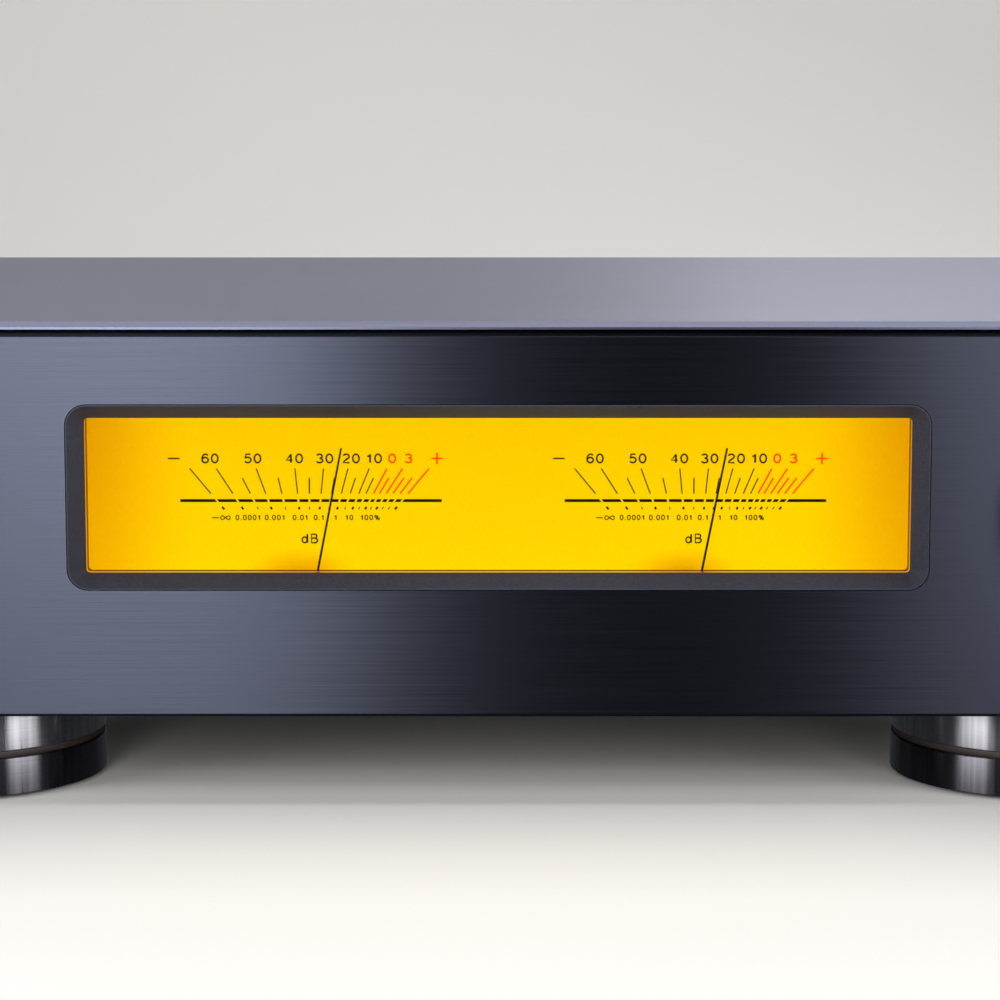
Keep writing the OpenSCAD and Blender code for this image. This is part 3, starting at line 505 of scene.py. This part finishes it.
# angle from upright in degrees and whether the tick is long, dark print then red print
DARK_TICKS = ((-39.6, 1), (-32.75, 1), (-26.4, 0), (-20.15, 1), (-13, 0), (-5.65, 1), (0, 0), (5.65, 1),
              (10.6, 0), (15.05, 1), (18.95, 0), (22.6, 1), (25.5, 0))
RED_TICKS = ((28.35, 1), (30.55, 0), (32.9, 1), (35.1, 0), (37.35, 0), (39.7, 1))
BAR_ENDS = (-49.1, 49.8)
# words and how far their middle stands to the right of the needle's pivot, in millimetres
DARK_LABELS = (("60", -21.25), ("50", -12.1), ("40", -3.2), ("30", 3.3), ("20", 9.0), ("10", 13.9))
RED_LABELS = (("0", 17.8), ("3", 21.3))
SHARE_LABELS = (("-~", -19.0), ("0.0001", -13.2), ("0.001", -7.44), ("0.01", -1.98), ("0.1", 2.02), ("1", 5.59),
                ("10", 8.53), ("100%", 13.0))
SIGNS = ((-29.0, "-"), (27.4, "+"))
# heights above the panel's lower edge, in millimetres
BAR_Z, TICK_Z, SHORT_Z, LONG_Z = 45.6, 47.1, 50.5, 52.55
DIGIT_Z, DOT_Z, SHARE_Z, UNIT_Z = 54.7, 43.97, 41.94, 37.4


def arc(x, z, wide, tall, start, end, steps=14):
    """Points on an ellipse between two angles in degrees."""
    turns = [math.radians(start + (end - start) * step / steps) for step in range(steps + 1)]
    return [(x + wide * math.cos(turn), z + tall * math.sin(turn)) for turn in turns]


# each character: its width, then the pen strokes on a cell one unit tall
GLYPHS = {
    "0": (0.52, [arc(0.26, 0.5, 0.26, 0.5, 0, 360, 28)]),
    "1": (0.4, [[(0.28, 1), (0.28, 0)], [(0.04, 0.74), (0.16, 0.77), (0.24, 0.85), (0.28, 0.97)]]),
    "2": (0.52, [arc(0.26, 0.73, 0.24, 0.27, 165, -38) + [(0.1, 0.2), (0.02, 0), (0.52, 0)]]),
    "3": (0.52, [arc(0.25, 0.76, 0.22, 0.24, 160, -90), arc(0.25, 0.26, 0.26, 0.26, 90, -160)]),
    "4": (0.54, [[(0.4, 0), (0.4, 1)], [(0.4, 0.97), (0.02, 0.3), (0.54, 0.3)]]),
    "5": (0.52, [[(0.48, 1), (0.12, 1), (0.05, 0.5)], arc(0.26, 0.32, 0.26, 0.32, 142, -155)]),
    "6": (0.52, [arc(0.27, 0.31, 0.25, 0.31, 0, 360, 24), arc(0.3, 0.5, 0.28, 0.5, 45, 205)]),
    ".": (0.08, [[(0.04, -0.05), (0.04, 0.07)]]),
    "%": (0.84, [arc(0.16, 0.76, 0.14, 0.22, 0, 360), arc(0.68, 0.24, 0.14, 0.22, 0, 360), [(0.6, 1), (0.24, 0)]]),
    "~": (1.7, [[(0.85 + 0.85 * math.sin(turn), 0.45 + 0.42 * math.sin(2 * turn))
                 for turn in (math.tau * step / 28 for step in range(29))]]),
    "-": (1.2, [[(0, 0.45), (1.2, 0.45)]]),
    "d": (0.48, [arc(0.22, 0.33, 0.2, 0.33, 0, 360, 22), [(0.44, 1), (0.44, 0)]]),
    "B": (0.52, [[(0.3, 0), (0.04, 0), (0.04, 1), (0.28, 1)], arc(0.28, 0.765, 0.18, 0.235, 90, -90),
                 [(0.28, 0.53), (0.04, 0.53)], arc(0.3, 0.265, 0.21, 0.265, 90, -90)]),
}


class Dial:
    """Collects one ink's print on one dial: pen strokes as a curve and the blocks of the bar as a bmesh."""

    def __init__(self, side):
        pivot = Vector(JOINTS["needle_" + side]["pos_m"])
        self.x, self.pivot_z = pivot.x, pivot.z
        self.face = DIAL_LOW.y - 0.02 * MM
        self.pens = bpy.data.curves.new("pens", "CURVE")
        self.pens.dimensions = "3D"
        self.pens.bevel_depth = 0.5
        self.pens.bevel_resolution = 1
        self.pens.use_fill_caps = True
        self.blocks = bmesh.new()

    def spot(self, angle, z):
        """Point on the dial's face at this angle from the pivot and this height in millimetres."""
        height = PANEL_LOW.z + z * MM
        return Vector((self.x + (height - self.pivot_z) * math.tan(math.radians(angle)), self.face, height))

    def pen(self, points, width):
        """Draw a line through points; width in millimetres."""
        spline = self.pens.splines.new("POLY")
        spline.use_cyclic_u = len(points) > 3 and (points[0] - points[-1]).length < 1e-7
        if spline.use_cyclic_u:
            points = points[:-1]
        spline.points.add(len(points) - 1)
        for place_at, point in zip(spline.points, points):
            place_at.co = (*point, 1)
            place_at.radius = width * MM

    def word(self, letters, x, z, height, width, spread=1.42):
        """Draw characters, widened by spread, their middle x from the pivot and z above the panel's edge."""
        tall = height - width
        gap = 0.17 + width / tall
        start = -(sum(GLYPHS[letter][0] for letter in letters) * spread + gap * (len(letters) - 1)) / 2
        for letter in letters:
            wide, strokes = GLYPHS[letter]
            for stroke in strokes:
                self.pen([Vector((self.x + (x + (start + u * spread) * tall) * MM, self.face,
                                  PANEL_LOW.z + (z + (v - 0.5) * tall) * MM)) for u, v in stroke], width)
            start += wide * spread + gap

    def block(self, start, end, gap):
        """One block of the bar, its ends slanted towards the pivot."""
        for corner in bmesh.ops.create_cube(self.blocks, size=1.0)["verts"]:
            right, up, back = (value > 0 for value in (corner.co.x, corner.co.z, corner.co.y))
            angle, rise = end if right else start, 0.31 if up else -0.31
            if angle in BAR_ENDS:
                corner.co = self.spot(angle, BAR_Z) + Vector((0, 0, rise * MM))
            else:
                corner.co = self.spot(angle, BAR_Z + rise) + Vector((-gap / 2 if right else gap / 2, 0, 0))
            if back:
                corner.co.y += 0.02 * MM

    def finish(self, name, ink, slot):
        """Flatten the strokes to a film of ink and join the blocks to them."""
        holder = bpy.data.objects.new("pens", self.pens)
        bpy.context.scene.collection.objects.link(holder)
        bpy.context.view_layer.update()
        strokes = bpy.data.meshes.new_from_object(holder.evaluated_get(bpy.context.evaluated_depsgraph_get()))
        flatten = Matrix.Translation((0, self.face, 0)) @ Matrix.Scale(0.05, 4, (0, 1, 0))
        strokes.transform(flatten @ Matrix.Translation((0, -self.face, 0)))
        self.blocks.from_mesh(strokes)
        bmesh.ops.recalc_face_normals(self.blocks, faces=self.blocks.faces)
        bpy.data.objects.remove(holder)
        bpy.data.curves.remove(self.pens)
        bpy.data.meshes.remove(strokes)
        make_piece(self.blocks, name, ink, "casing")


class AMP_OT_dials(bpy.types.Operator):
    """Light the dial plate and print both scales"""
    bl_idname = "amp.dials"
    bl_label = "Dials"

    def execute(self, context):
        look = context.scene.amp_meters
        dress("dial_plate", lit_dial())
        ink = grained("screen_printed_ink", look.ink, look.ink, 0.7, 0.1, bump_depth=0.002, Specular_IOR_Level=0.0)
        red = backlit_or_painted_glow("screen_printed_red_ink", look.red, look.red, 0.5, 0.6, 0.8,
                              Specular_IOR_Level=0.0)
        big, small = look.digit_height / MM, look.small_height / MM
        stops = [BAR_ENDS[0], *(angle for angle, is_long in DARK_TICKS + RED_TICKS), BAR_ENDS[1]]
        for side in ("left", "right"):
            dark, hot = Dial(side), Dial(side)
            for dial, ticks, thick in ((dark, DARK_TICKS, 0.3), (hot, RED_TICKS, 0.37)):
                for angle, is_long in ticks:
                    dial.pen([dial.spot(angle, TICK_Z), dial.spot(angle, LONG_Z if is_long else SHORT_Z)], thick)
                    dark.pen([dark.spot(angle, DOT_Z - 0.29), dark.spot(angle, DOT_Z + 0.29)], 0.5 if is_long else 0.22)
            for start, end in zip(stops, stops[1:]):
                dark.block(start, end, 0.42 * MM)
            for dial, labels in ((dark, DARK_LABELS), (hot, RED_LABELS)):
                for letters, x in labels:
                    dial.word(letters, x, DIGIT_Z, big, 0.42)
            for letters, x in SHARE_LABELS:
                dark.word(letters, x, SHARE_Z, small, 0.26, 1.2)
            dark.word("dB", 0, UNIT_Z, big, 0.38)
            for dial, (x, sign) in zip((dark, hot), SIGNS):
                dial.pen([Vector((dial.x + (x + step) * MM, dial.face, PANEL_LOW.z + DIGIT_Z * MM))
                          for step in (-1.25, 1.25)], 0.36)
                if sign == "+":
                    dial.pen([Vector((dial.x + x * MM, dial.face, PANEL_LOW.z + (DIGIT_Z + step) * MM))
                              for step in (-1.25, 1.25)], 0.36)
            dark.finish("scale_print_" + side, ink, "needle_black")
            hot.finish("scale_red_print_" + side, red, "red_plastic")
        return {"FINISHED"}


class AMP_OT_movements(bpy.types.Operator):
    """Finish the needles, coils, magnets, carrier and lamp board"""
    bl_idname = "amp.movements"
    bl_label = "Meter Movements"

    def needle(self, side, look, paint):
        """A slim tapered blade on its hub, with a counterweight on the tail and a spindle to the coil."""
        node = "meter_needle_" + side
        pivot = Vector(JOINTS["needle_" + side]["pos_m"])
        low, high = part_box(node)
        lean = math.atan2(high.x - pivot.x - 0.27 * MM, high.z - pivot.z - 0.05 * MM)
        reach = (high.z - pivot.z + 0.65 * MM) / math.cos(lean)
        front, back = low.y + 0.5 * MM, low.y + 0.85 * MM
        bm = bmesh.new()
        for corner in bmesh.ops.create_cube(bm, size=2.0)["verts"]:
            wide, z = (look.needle_tip, reach) if corner.co.z > 0 else (look.needle_root, -5.2 * MM)
            corner.co = Vector((corner.co.x * wide / 2, back if corner.co.y > 0 else front, z))
        for radius, z, near, far in ((1.2, -5.2, front - 0.4 * MM, back + 0.4 * MM),
                                     (2.2, 0, low.y, low.y + 1.7 * MM), (0.6, 0, low.y + 1.5 * MM, high.y)):
            across = Matrix.Translation((0, (near + far) / 2, z * MM)) @ Matrix.Rotation(math.pi / 2, 4, "X")
            bmesh.ops.create_cone(bm, cap_ends=True, segments=48, radius1=radius * MM, radius2=radius * MM,
                                  depth=far - near, matrix=across)
        turned = Matrix.Translation((pivot.x, 0, pivot.z)) @ Matrix.Rotation(lean, 4, "Y")
        bmesh.ops.transform(bm, matrix=turned, verts=bm.verts)
        make_piece(bm, f"needle_{side}_blade", paint, "meter_" + side, [node])

    def execute(self, context):
        black = grained("matt_black_lacquer", "#040302", "#0A0806", 0.7, 0.2, bump_depth=0.005,
                        Specular_IOR_Level=0.05)
        steel = grained("machined_magnet_steel", "#7C7E82", "#A4A6AA", 0.35, 0.4, metallic=1.0, bump_depth=0.01)
        wound = grained("enamelled_copper_wire", "#7A3410", "#B4622A", 0.3, 0.25, metallic=0.8)
        white = grained("moulded_white_plastic", "#CFCFCA", "#E6E6E2", 0.5, 0.5)
        board = grained("white_solder_mask", "#D8D8D4", "#EEEEEA", 0.35, 0.4, bump_depth=0.01)
        for side in ("left", "right"):
            self.needle(side, context.scene.amp_meters, black)
            dress("meter_movement_" + side, steel)
            dress("meter_coil_" + side, wound)
        dress("meter_carrier", white)
        dress("light_board", board)
        return {"FINISHED"}


# ---- controls --------------------------------------------------------------------------------

class AMP_OT_controls(bpy.types.Operator):
    """Turn the knobs and finish the button, socket, light and the parts behind them"""
    bl_idname = "amp.controls"
    bl_label = "Controls"

    def turned_knob(self, node, body, material):
        """A knob with a dished, ringed face, a chamfer and a grip groove near the panel."""
        low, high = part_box(node)
        radius = (high.z - low.z) / 2 / MM
        length = (high.y - low.y) / MM
        profile = [(3.1, 0), (radius - 1.4, 0), (radius - 1.4, 1.6), (radius, 2.2), (radius, length - 0.8),
                   (radius - 0.8, length), (radius - 3.2, length), (radius - 3.6, length - 0.35), (0, length - 0.35)]
        bm = turn_profile([(0, 0)] + profile, 160, bevel=0.14, segments=2)
        place(bm, axis_point(low, high, high.y), (0, -1, 0))
        return make_piece(bm, node + "_turned", material, body, [node])

    def pointer(self, node, body, material):
        """A filled line on a knob's face, from half its radius to its rim."""
        low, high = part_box(node)
        x, z = (low.x + high.x) / 2, (low.z + high.z) / 2
        radius = (high.z - low.z) / 2
        bm = bmesh.new()
        add_box(bm, (x - 0.45 * MM, low.y, z + radius * 0.42),
                (x + 0.45 * MM, low.y + 1.0 * MM, z + radius - 3.7 * MM), 0.1 * MM)
        make_piece(bm, node + "_pointer", material, body)

    def execute(self, context):
        knob = turned_metal("turned_anodised_knob", "#50525F", "#7C7E8C", 0.28, 0.35)
        bright = turned_metal("turned_bright_aluminium", "#B4B4B8", "#E2E2E4", 0.2, 0.3)
        steel = grained("ground_shaft_steel", "#8C8C90", "#B4B4B8", 0.25, 0.3, metallic=1.0, bump_depth=0.01)
        control = grained("stamped_control_metal", "#6C6C66", "#94948C", 0.4, 0.5, metallic=0.9, bump_depth=0.01)
        black = grained("moulded_black_nylon", "#0E0E10", "#1C1C20", 0.45, 0.4)
        for node, body in (("volume_knob", "volume_control_knob"), ("input_knob", "input_selector_knob")):
            self.turned_knob(node, body, knob)
            self.pointer(node, body, bright)
        low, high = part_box("power_button")
        radius = (high.z - low.z) / 2 / MM - 1.3
        centre = axis_point(low, high, low.y)
        depth, flange = (high.y - low.y) / MM, (PANEL_HIGH.y - low.y) / MM + 0.3
        bm = turn_profile([(0, -0.35), (0.55 * radius, -0.35), (radius - 0.5, 0), (radius, -0.5), (radius, -flange),
                           (radius + 1.3, -flange), (radius + 1.3, -flange - 0.7), (2, -flange - 0.7), (2, -depth),
                           (0, -depth)], 96, bevel=0.08)
        place(bm, centre, (0, -1, 0))
        make_piece(bm, "power_button_turned", bright, "power_key", ["power_button"])
        low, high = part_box("headphone_ring")
        radius = (high.z - low.z) / 2 / MM
        thick = (high.y - low.y) / MM
        bm = turn_profile([(5.9, 0), (radius, 0), (radius, thick * 0.6), (radius - 0.5, thick), (5.9, thick)],
                          96, True, 0.06)
        place(bm, axis_point(low, high, high.y), (0, -1, 0))
        make_piece(bm, "headphone_ring_turned", bright, "casing", ["headphone_ring"])
        low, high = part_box("standby_light")
        lens = backlit_or_painted_glow("moulded_amber_lens", "#F07A08", "#FFA830", 0.8, 2.5)
        bm = turn_profile([(0, 0), (1.5, 0), (1.5, 4), (1.35, 4.3), (0.9, 4.45), (0, 4.5)], 48)
        place(bm, axis_point(low, high, low.y + 4.5 * MM), (0, -1, 0))
        make_piece(bm, "standby_lens_dome", lens, "casing", ["standby_light"])
        for node in ("volume_shaft", "input_shaft"):
            dress(node, steel)
        for node in ("volume_potentiometer", "input_switch"):
            dress(node, control)
        for node in ("power_switch", "headphone_socket"):
            dress(node, black)
        return {"FINISHED"}


# ---- feet ------------------------------------------------------------------------------------

class AMP_OT_feet(bpy.types.Operator):
    """Turn the drums, rings and discs of the four feet"""
    bl_idname = "amp.feet"
    bl_label = "Feet"

    def execute(self, context):
        drum = turned_metal("turned_foot_aluminium", "#A8A6AC", "#E4E2E8", 0.3, anisotropy=0.97, lines=140)
        disc = turned_metal("turned_base_aluminium", "#55545A", "#7C7A80", 0.3, anisotropy=0.97, lines=140)
        collar = grained("moulded_brown_elastomer", "#1C1412", "#2A201E", 0.5, 0.4)
        felt = grained("pressed_wool_felt", "#0E0E0E", "#222222", 0.9, 0.5, bump_depth=0.2)
        steel = grained("zinc_plated_bolt_steel", "#8E8E90", "#B6B6B8", 0.35, 0.4, metallic=1.0)
        low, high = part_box("foot_drums")
        resting = next(mount for mount in MOUNTS if mount["name"] == "resting_face")["pos_m"]
        radius = (high.x - resting[0]) / MM
        corners = [(x, y) for x in (low.x + radius * MM, high.x - radius * MM)
                   for y in (low.y + radius * MM, high.y - radius * MM)]
        for kind, material, slot, bevel in (("foot_drums", drum, "polished_metal", 0.3),
                                            ("foot_isolators", collar, "black_rubber", 0.3),
                                            ("foot_discs", disc, "turned_disc", 0.3)):
            low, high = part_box(kind)
            height = (high.z - low.z) / MM
            wide = radius if kind != "foot_isolators" else radius - 0.5
            for number, (x, y) in enumerate(corners):
                bm = turn_profile([(3.1, 0), (wide, 0), (wide, height), (3.1, height)], 160, True, bevel, 3)
                place(bm, Vector((x, y, low.z)), (0, 0, 1))
                make_piece(bm, f"{kind[:-1]}_{number + 1}", material, "casing", [kind])
        dress("foot_pads", felt)
        dress("foot_bolts", steel)
        return {"FINISHED"}


# ---- rear ------------------------------------------------------------------------------------

class AMP_OT_rear(bpy.types.Operator):
    """Flute the terminal caps, turn the line sockets and finish the inlet and the screws"""
    bl_idname = "amp.rear"
    bl_label = "Rear"

    def fluted_cap(self, name, material):
        """A screw cap with rounded grip flutes between two plain rims, bored for the stud and for a plug."""
        node = "terminal_cap_" + name
        low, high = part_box(node)
        radius, length = (high.x - low.x) / 2 / MM, (high.y - low.y) / MM
        stud_end = length - 3.7

        def flutes(turn):
            return radius - 0.55 * abs(math.sin(9 * turn)) ** 0.6
        section = ((0, radius - 0.5), (0.5, radius), (1.6, radius), (2.4, flutes), (length - 3, flutes),
                   (length - 2.2, radius), (length - 0.9, radius), (length, radius - 0.9), (length, 2.45),
                   (stud_end, 2.45), (stud_end, 3.05), (0, 3.05))
        bm = bmesh.new()
        loft(bm, [ring(216, height, reach) for height, reach in section])
        place(bm, axis_point(low, high, low.y), (0, 1, 0))
        make_piece(bm, f"terminal_cap_{name}_fluted", material, "cap_" + name,
                   [node])

    def line_socket(self, mount, gold, insert):
        """A turned socket shell with its flange, and the insert inside it."""
        x, z = mount["pos_m"][0], mount["pos_m"][2]
        name = mount["name"].removesuffix("_shell")
        shells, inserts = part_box("line_socket_shells"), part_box("line_socket_inserts")
        long, deep = (shells[1].y - shells[0].y) / MM, (inserts[1].y - inserts[0].y) / MM
        shell = turn_profile([(3.5, 0), (4.15, 0), (4.15, 6), (6, 6), (6, 7.2), (4.15, 7.2), (4.15, long - 0.4),
                              (3.9, long), (3.5, long)], 64, True, 0.08)
        place(shell, Vector((x, shells[0].y, z)), (0, 1, 0))
        make_piece(shell, name + "_turned_shell", gold, "casing", ["line_socket_shells"])
        core = turn_profile([(0, 0), (3.5, 0), (3.5, deep), (1.65, deep), (1.65, 11), (0, 11)], 48)
        place(core, Vector((x, inserts[0].y, z)), (0, 1, 0))
        make_piece(core, name + "_turned_insert", insert, "casing", ["line_socket_inserts"])

    def execute(self, context):
        gold = turned_metal("gold_plated_brass", "#C08C34", "#EAC470", 0.16, lines=40)
        plate = grained("gold_plated_stud_brass", "#B8862E", "#E4BC66", 0.18, 0.6, metallic=1.0, bump_depth=0.004)
        white = grained("moulded_socket_white", "#D2D2CC", "#EAEAE6", 0.4, 0.5)
        black = grained("moulded_black_polycarbonate", "#0C0C0E", "#1A1A1E", 0.35, 0.4)
        red = grained("moulded_red_polycarbonate", "#8E0E10", "#B81C1C", 0.3, 0.4)
        steel = grained("tinned_blade_steel", "#A8A8AC", "#CECED2", 0.25, 0.4, metallic=1.0)
        screw = grained("black_oxide_screw", "#101012", "#26262A", 0.35, 0.3, metallic=0.9)
        dress_all({"terminal_collars": black, "terminal_studs": plate, "mains_inlet": black,
                   "mains_blades": steel, "panel_screws": screw})
        for mount in MOUNTS:
            if mount["name"].endswith("_shell"):
                self.line_socket(mount, gold, white if "left" in mount["name"] else red)
        for name in TERMINALS:
            dress("terminal_ferrule_" + name, plate)
            self.fluted_cap(name, red if name.endswith("plus") else black)
        return {"FINISHED"}


# ---- inside ----------------------------------------------------------------------------------

class AMP_OT_inside(bpy.types.Operator):
    """Finish the power supply, the boards, the heat sinks and the wiring"""
    bl_idname = "amp.inside"
    bl_label = "Inside"

    def execute(self, context):
        tape = grained("wound_polyester_tape", "#8A6218", "#C89A34", 0.35, 2.0, bump_depth=0.1)
        clamp = grained("painted_clamp_steel", "#1C1C1E", "#303034", 0.45, 0.4)
        sink = grained("black_anodised_extrusion", "#131418", "#24262C", 0.45, 0.3, metallic=0.7)
        chip = grained("moulded_transistor_epoxy", "#0E0E10", "#1E1E20", 0.6, 0.3)
        board = grained("green_solder_mask", "#0C3A22", "#17603A", 0.35, 0.8, bump_depth=0.02)
        sleeve = grained("shrunk_capacitor_sleeve", "#0E1A30", "#1C2E4C", 0.25, 1.0, bump_depth=0.01)
        wire = grained("silicone_wire_insulation", "#6E1412", "#8E2422", 0.45, 0.5)
        dress_all({"transformer": tape, "transformer_clamp": clamp, "heat_sinks": sink,
                   "output_transistors": chip, "amplifier_boards": board, "supply_board": board,
                   "input_board": board, "control_boards": board, "reservoir_capacitors": sleeve,
                   "wiring": wire})
        return {"FINISHED"}


# ---- stage -----------------------------------------------------------------------------------

class AMP_OT_stage(bpy.types.Operator):
    """Set up the floor, the lights and the camera"""
    bl_idname = "amp.stage"
    bl_label = "Stage"

    def soft_light(self, name, centre, target, size, power, colour="#FFFFFF"):
        """A rectangular light aimed at a point."""
        lamp = bpy.data.lights.new(name, "AREA")
        lamp.shape = "RECTANGLE"
        lamp.size, lamp.size_y = size
        lamp.energy = power
        lamp.color = linear(colour)[:3]
        light = bpy.data.objects.new(name, lamp)
        light.location = centre
        light.rotation_euler = (Vector(target) - Vector(centre)).to_track_quat("-Z", "Y").to_euler()
        bpy.context.scene.collection.objects.link(light)

    def sheet(self, name, paper, profile):
        """A length of backdrop paper, drawn along X from points given as (y, z)."""
        bm = bmesh.new()
        verts = [bm.verts.new((-3.0, y, z)) for y, z in profile]
        edges = [bm.edges.new(pair) for pair in zip(verts, verts[1:])]
        made = bmesh.ops.extrude_edge_only(bm, edges=edges)["geom"]
        bmesh.ops.translate(bm, vec=(6.0, 0, 0), verts=[v for v in made if isinstance(v, bmesh.types.BMVert)])
        bmesh.ops.recalc_face_normals(bm, faces=bm.faces)
        mesh = bpy.data.meshes.new(name)
        bm.to_mesh(mesh)
        bm.free()
        mesh.shade_smooth()
        mesh.materials.append(paper)
        laid = bpy.data.objects.new(name, mesh)
        bpy.context.scene.collection.objects.link(laid)
        return laid

    def execute(self, context):
        look = context.scene.amp_stage
        scene = context.scene
        paper = start_material("matt_backdrop_paper", look.floor, 0.9)[0]
        near, far, rise, bend, steps = -2.5, 2.2, 2.4, 0.8, 12
        curve = [(far - bend + bend * math.sin(turn), bend * (1 - math.cos(turn)))
                 for turn in (math.pi / 2 * step / steps for step in range(steps + 1))]
        floor = self.sheet("studio_floor", paper, [(near, 0), curve[0]])
        floor.visible_glossy = False
        self.sheet("studio_sweep", paper, [*curve, (far, rise)])
        focus = (0, -0.1, 0.06)
        self.soft_light("front_left", (-0.225, FACE_Y - 1.0, 0.3), (-0.225, 0, 0.3), (0.28, 0.6), look.front)
        self.soft_light("front_right", (0.38, FACE_Y - 1.0, 0.3), (0.38, 0, 0.3), (0.3, 0.6), look.front * 0.5)
        for side in (-1, 1):
            self.soft_light("strip", (0.94 * side, -0.74, 0.4), (0, -0.14, 0.4), (0.5, 0.8), look.strips)
        self.soft_light("overhead", (0, 0.1, 1.4), focus, (1.6, 1.2), look.top)
        self.soft_light("rear_fill", (0.5, 1.1, 1.0), (0, 0.15, 0.05), (0.9, 0.6), look.top * 0.3)
        self.soft_light("backdrop_wash", (0, 1.0, 1.7), (0, 2.2, 0.5), (2.4, 0.4), look.wash)
        world = bpy.data.worlds.new("studio_air")
        world.use_nodes = True
        world.node_tree.nodes["Background"].inputs["Color"].default_value = linear("#B8BCC8")
        world.node_tree.nodes["Background"].inputs["Strength"].default_value = 0.07
        scene.world = world
        scene.view_settings.view_transform = "Standard"
        camera = bpy.data.objects.new("camera", bpy.data.cameras.new("camera"))
        camera.data.lens = look.lens
        camera.data.sensor_width = 36.0
        camera.location = (0.0004, FACE_Y - look.distance, PANEL_LOW.z + look.height)
        camera.rotation_euler = (math.pi / 2 - look.pitch, 0, 0)
        scene.collection.objects.link(camera)
        scene.camera = camera
        return {"FINISHED"}


# ---- panel and run ---------------------------------------------------------------------------

OPERATORS = (AMP_OT_casing, AMP_OT_surround, AMP_OT_dials, AMP_OT_movements, AMP_OT_controls, AMP_OT_feet,
             AMP_OT_rear, AMP_OT_inside, AMP_OT_stage)


class AMP_PT_sidebar(bpy.types.Panel):
    """Steps that finish the amplifier"""
    bl_label = "Amplifier"
    bl_space_type = "VIEW_3D"
    bl_region_type = "UI"
    bl_category = "Amplifier"

    def draw(self, context):
        for operator in OPERATORS:
            self.layout.operator(operator.bl_idname)


GROUPS = {"amp_casing": AMP_PG_casing, "amp_meters": AMP_PG_meters, "amp_stage": AMP_PG_stage}


def register():
    for cls in (*GROUPS.values(), *OPERATORS, AMP_PT_sidebar):
        bpy.utils.register_class(cls)
    for name, group in GROUPS.items():
        setattr(bpy.types.Scene, name, bpy.props.PointerProperty(type=group))


def unregister():
    for name in GROUPS:
        delattr(bpy.types.Scene, name)
    for cls in reversed((*GROUPS.values(), *OPERATORS, AMP_PT_sidebar)):
        bpy.utils.unregister_class(cls)


def main():
    """Run every step in order."""
    register()
    for operator in OPERATORS:
        getattr(bpy.ops.amp, operator.bl_idname.split(".")[1])()


if __name__ == "__main__":
    main()
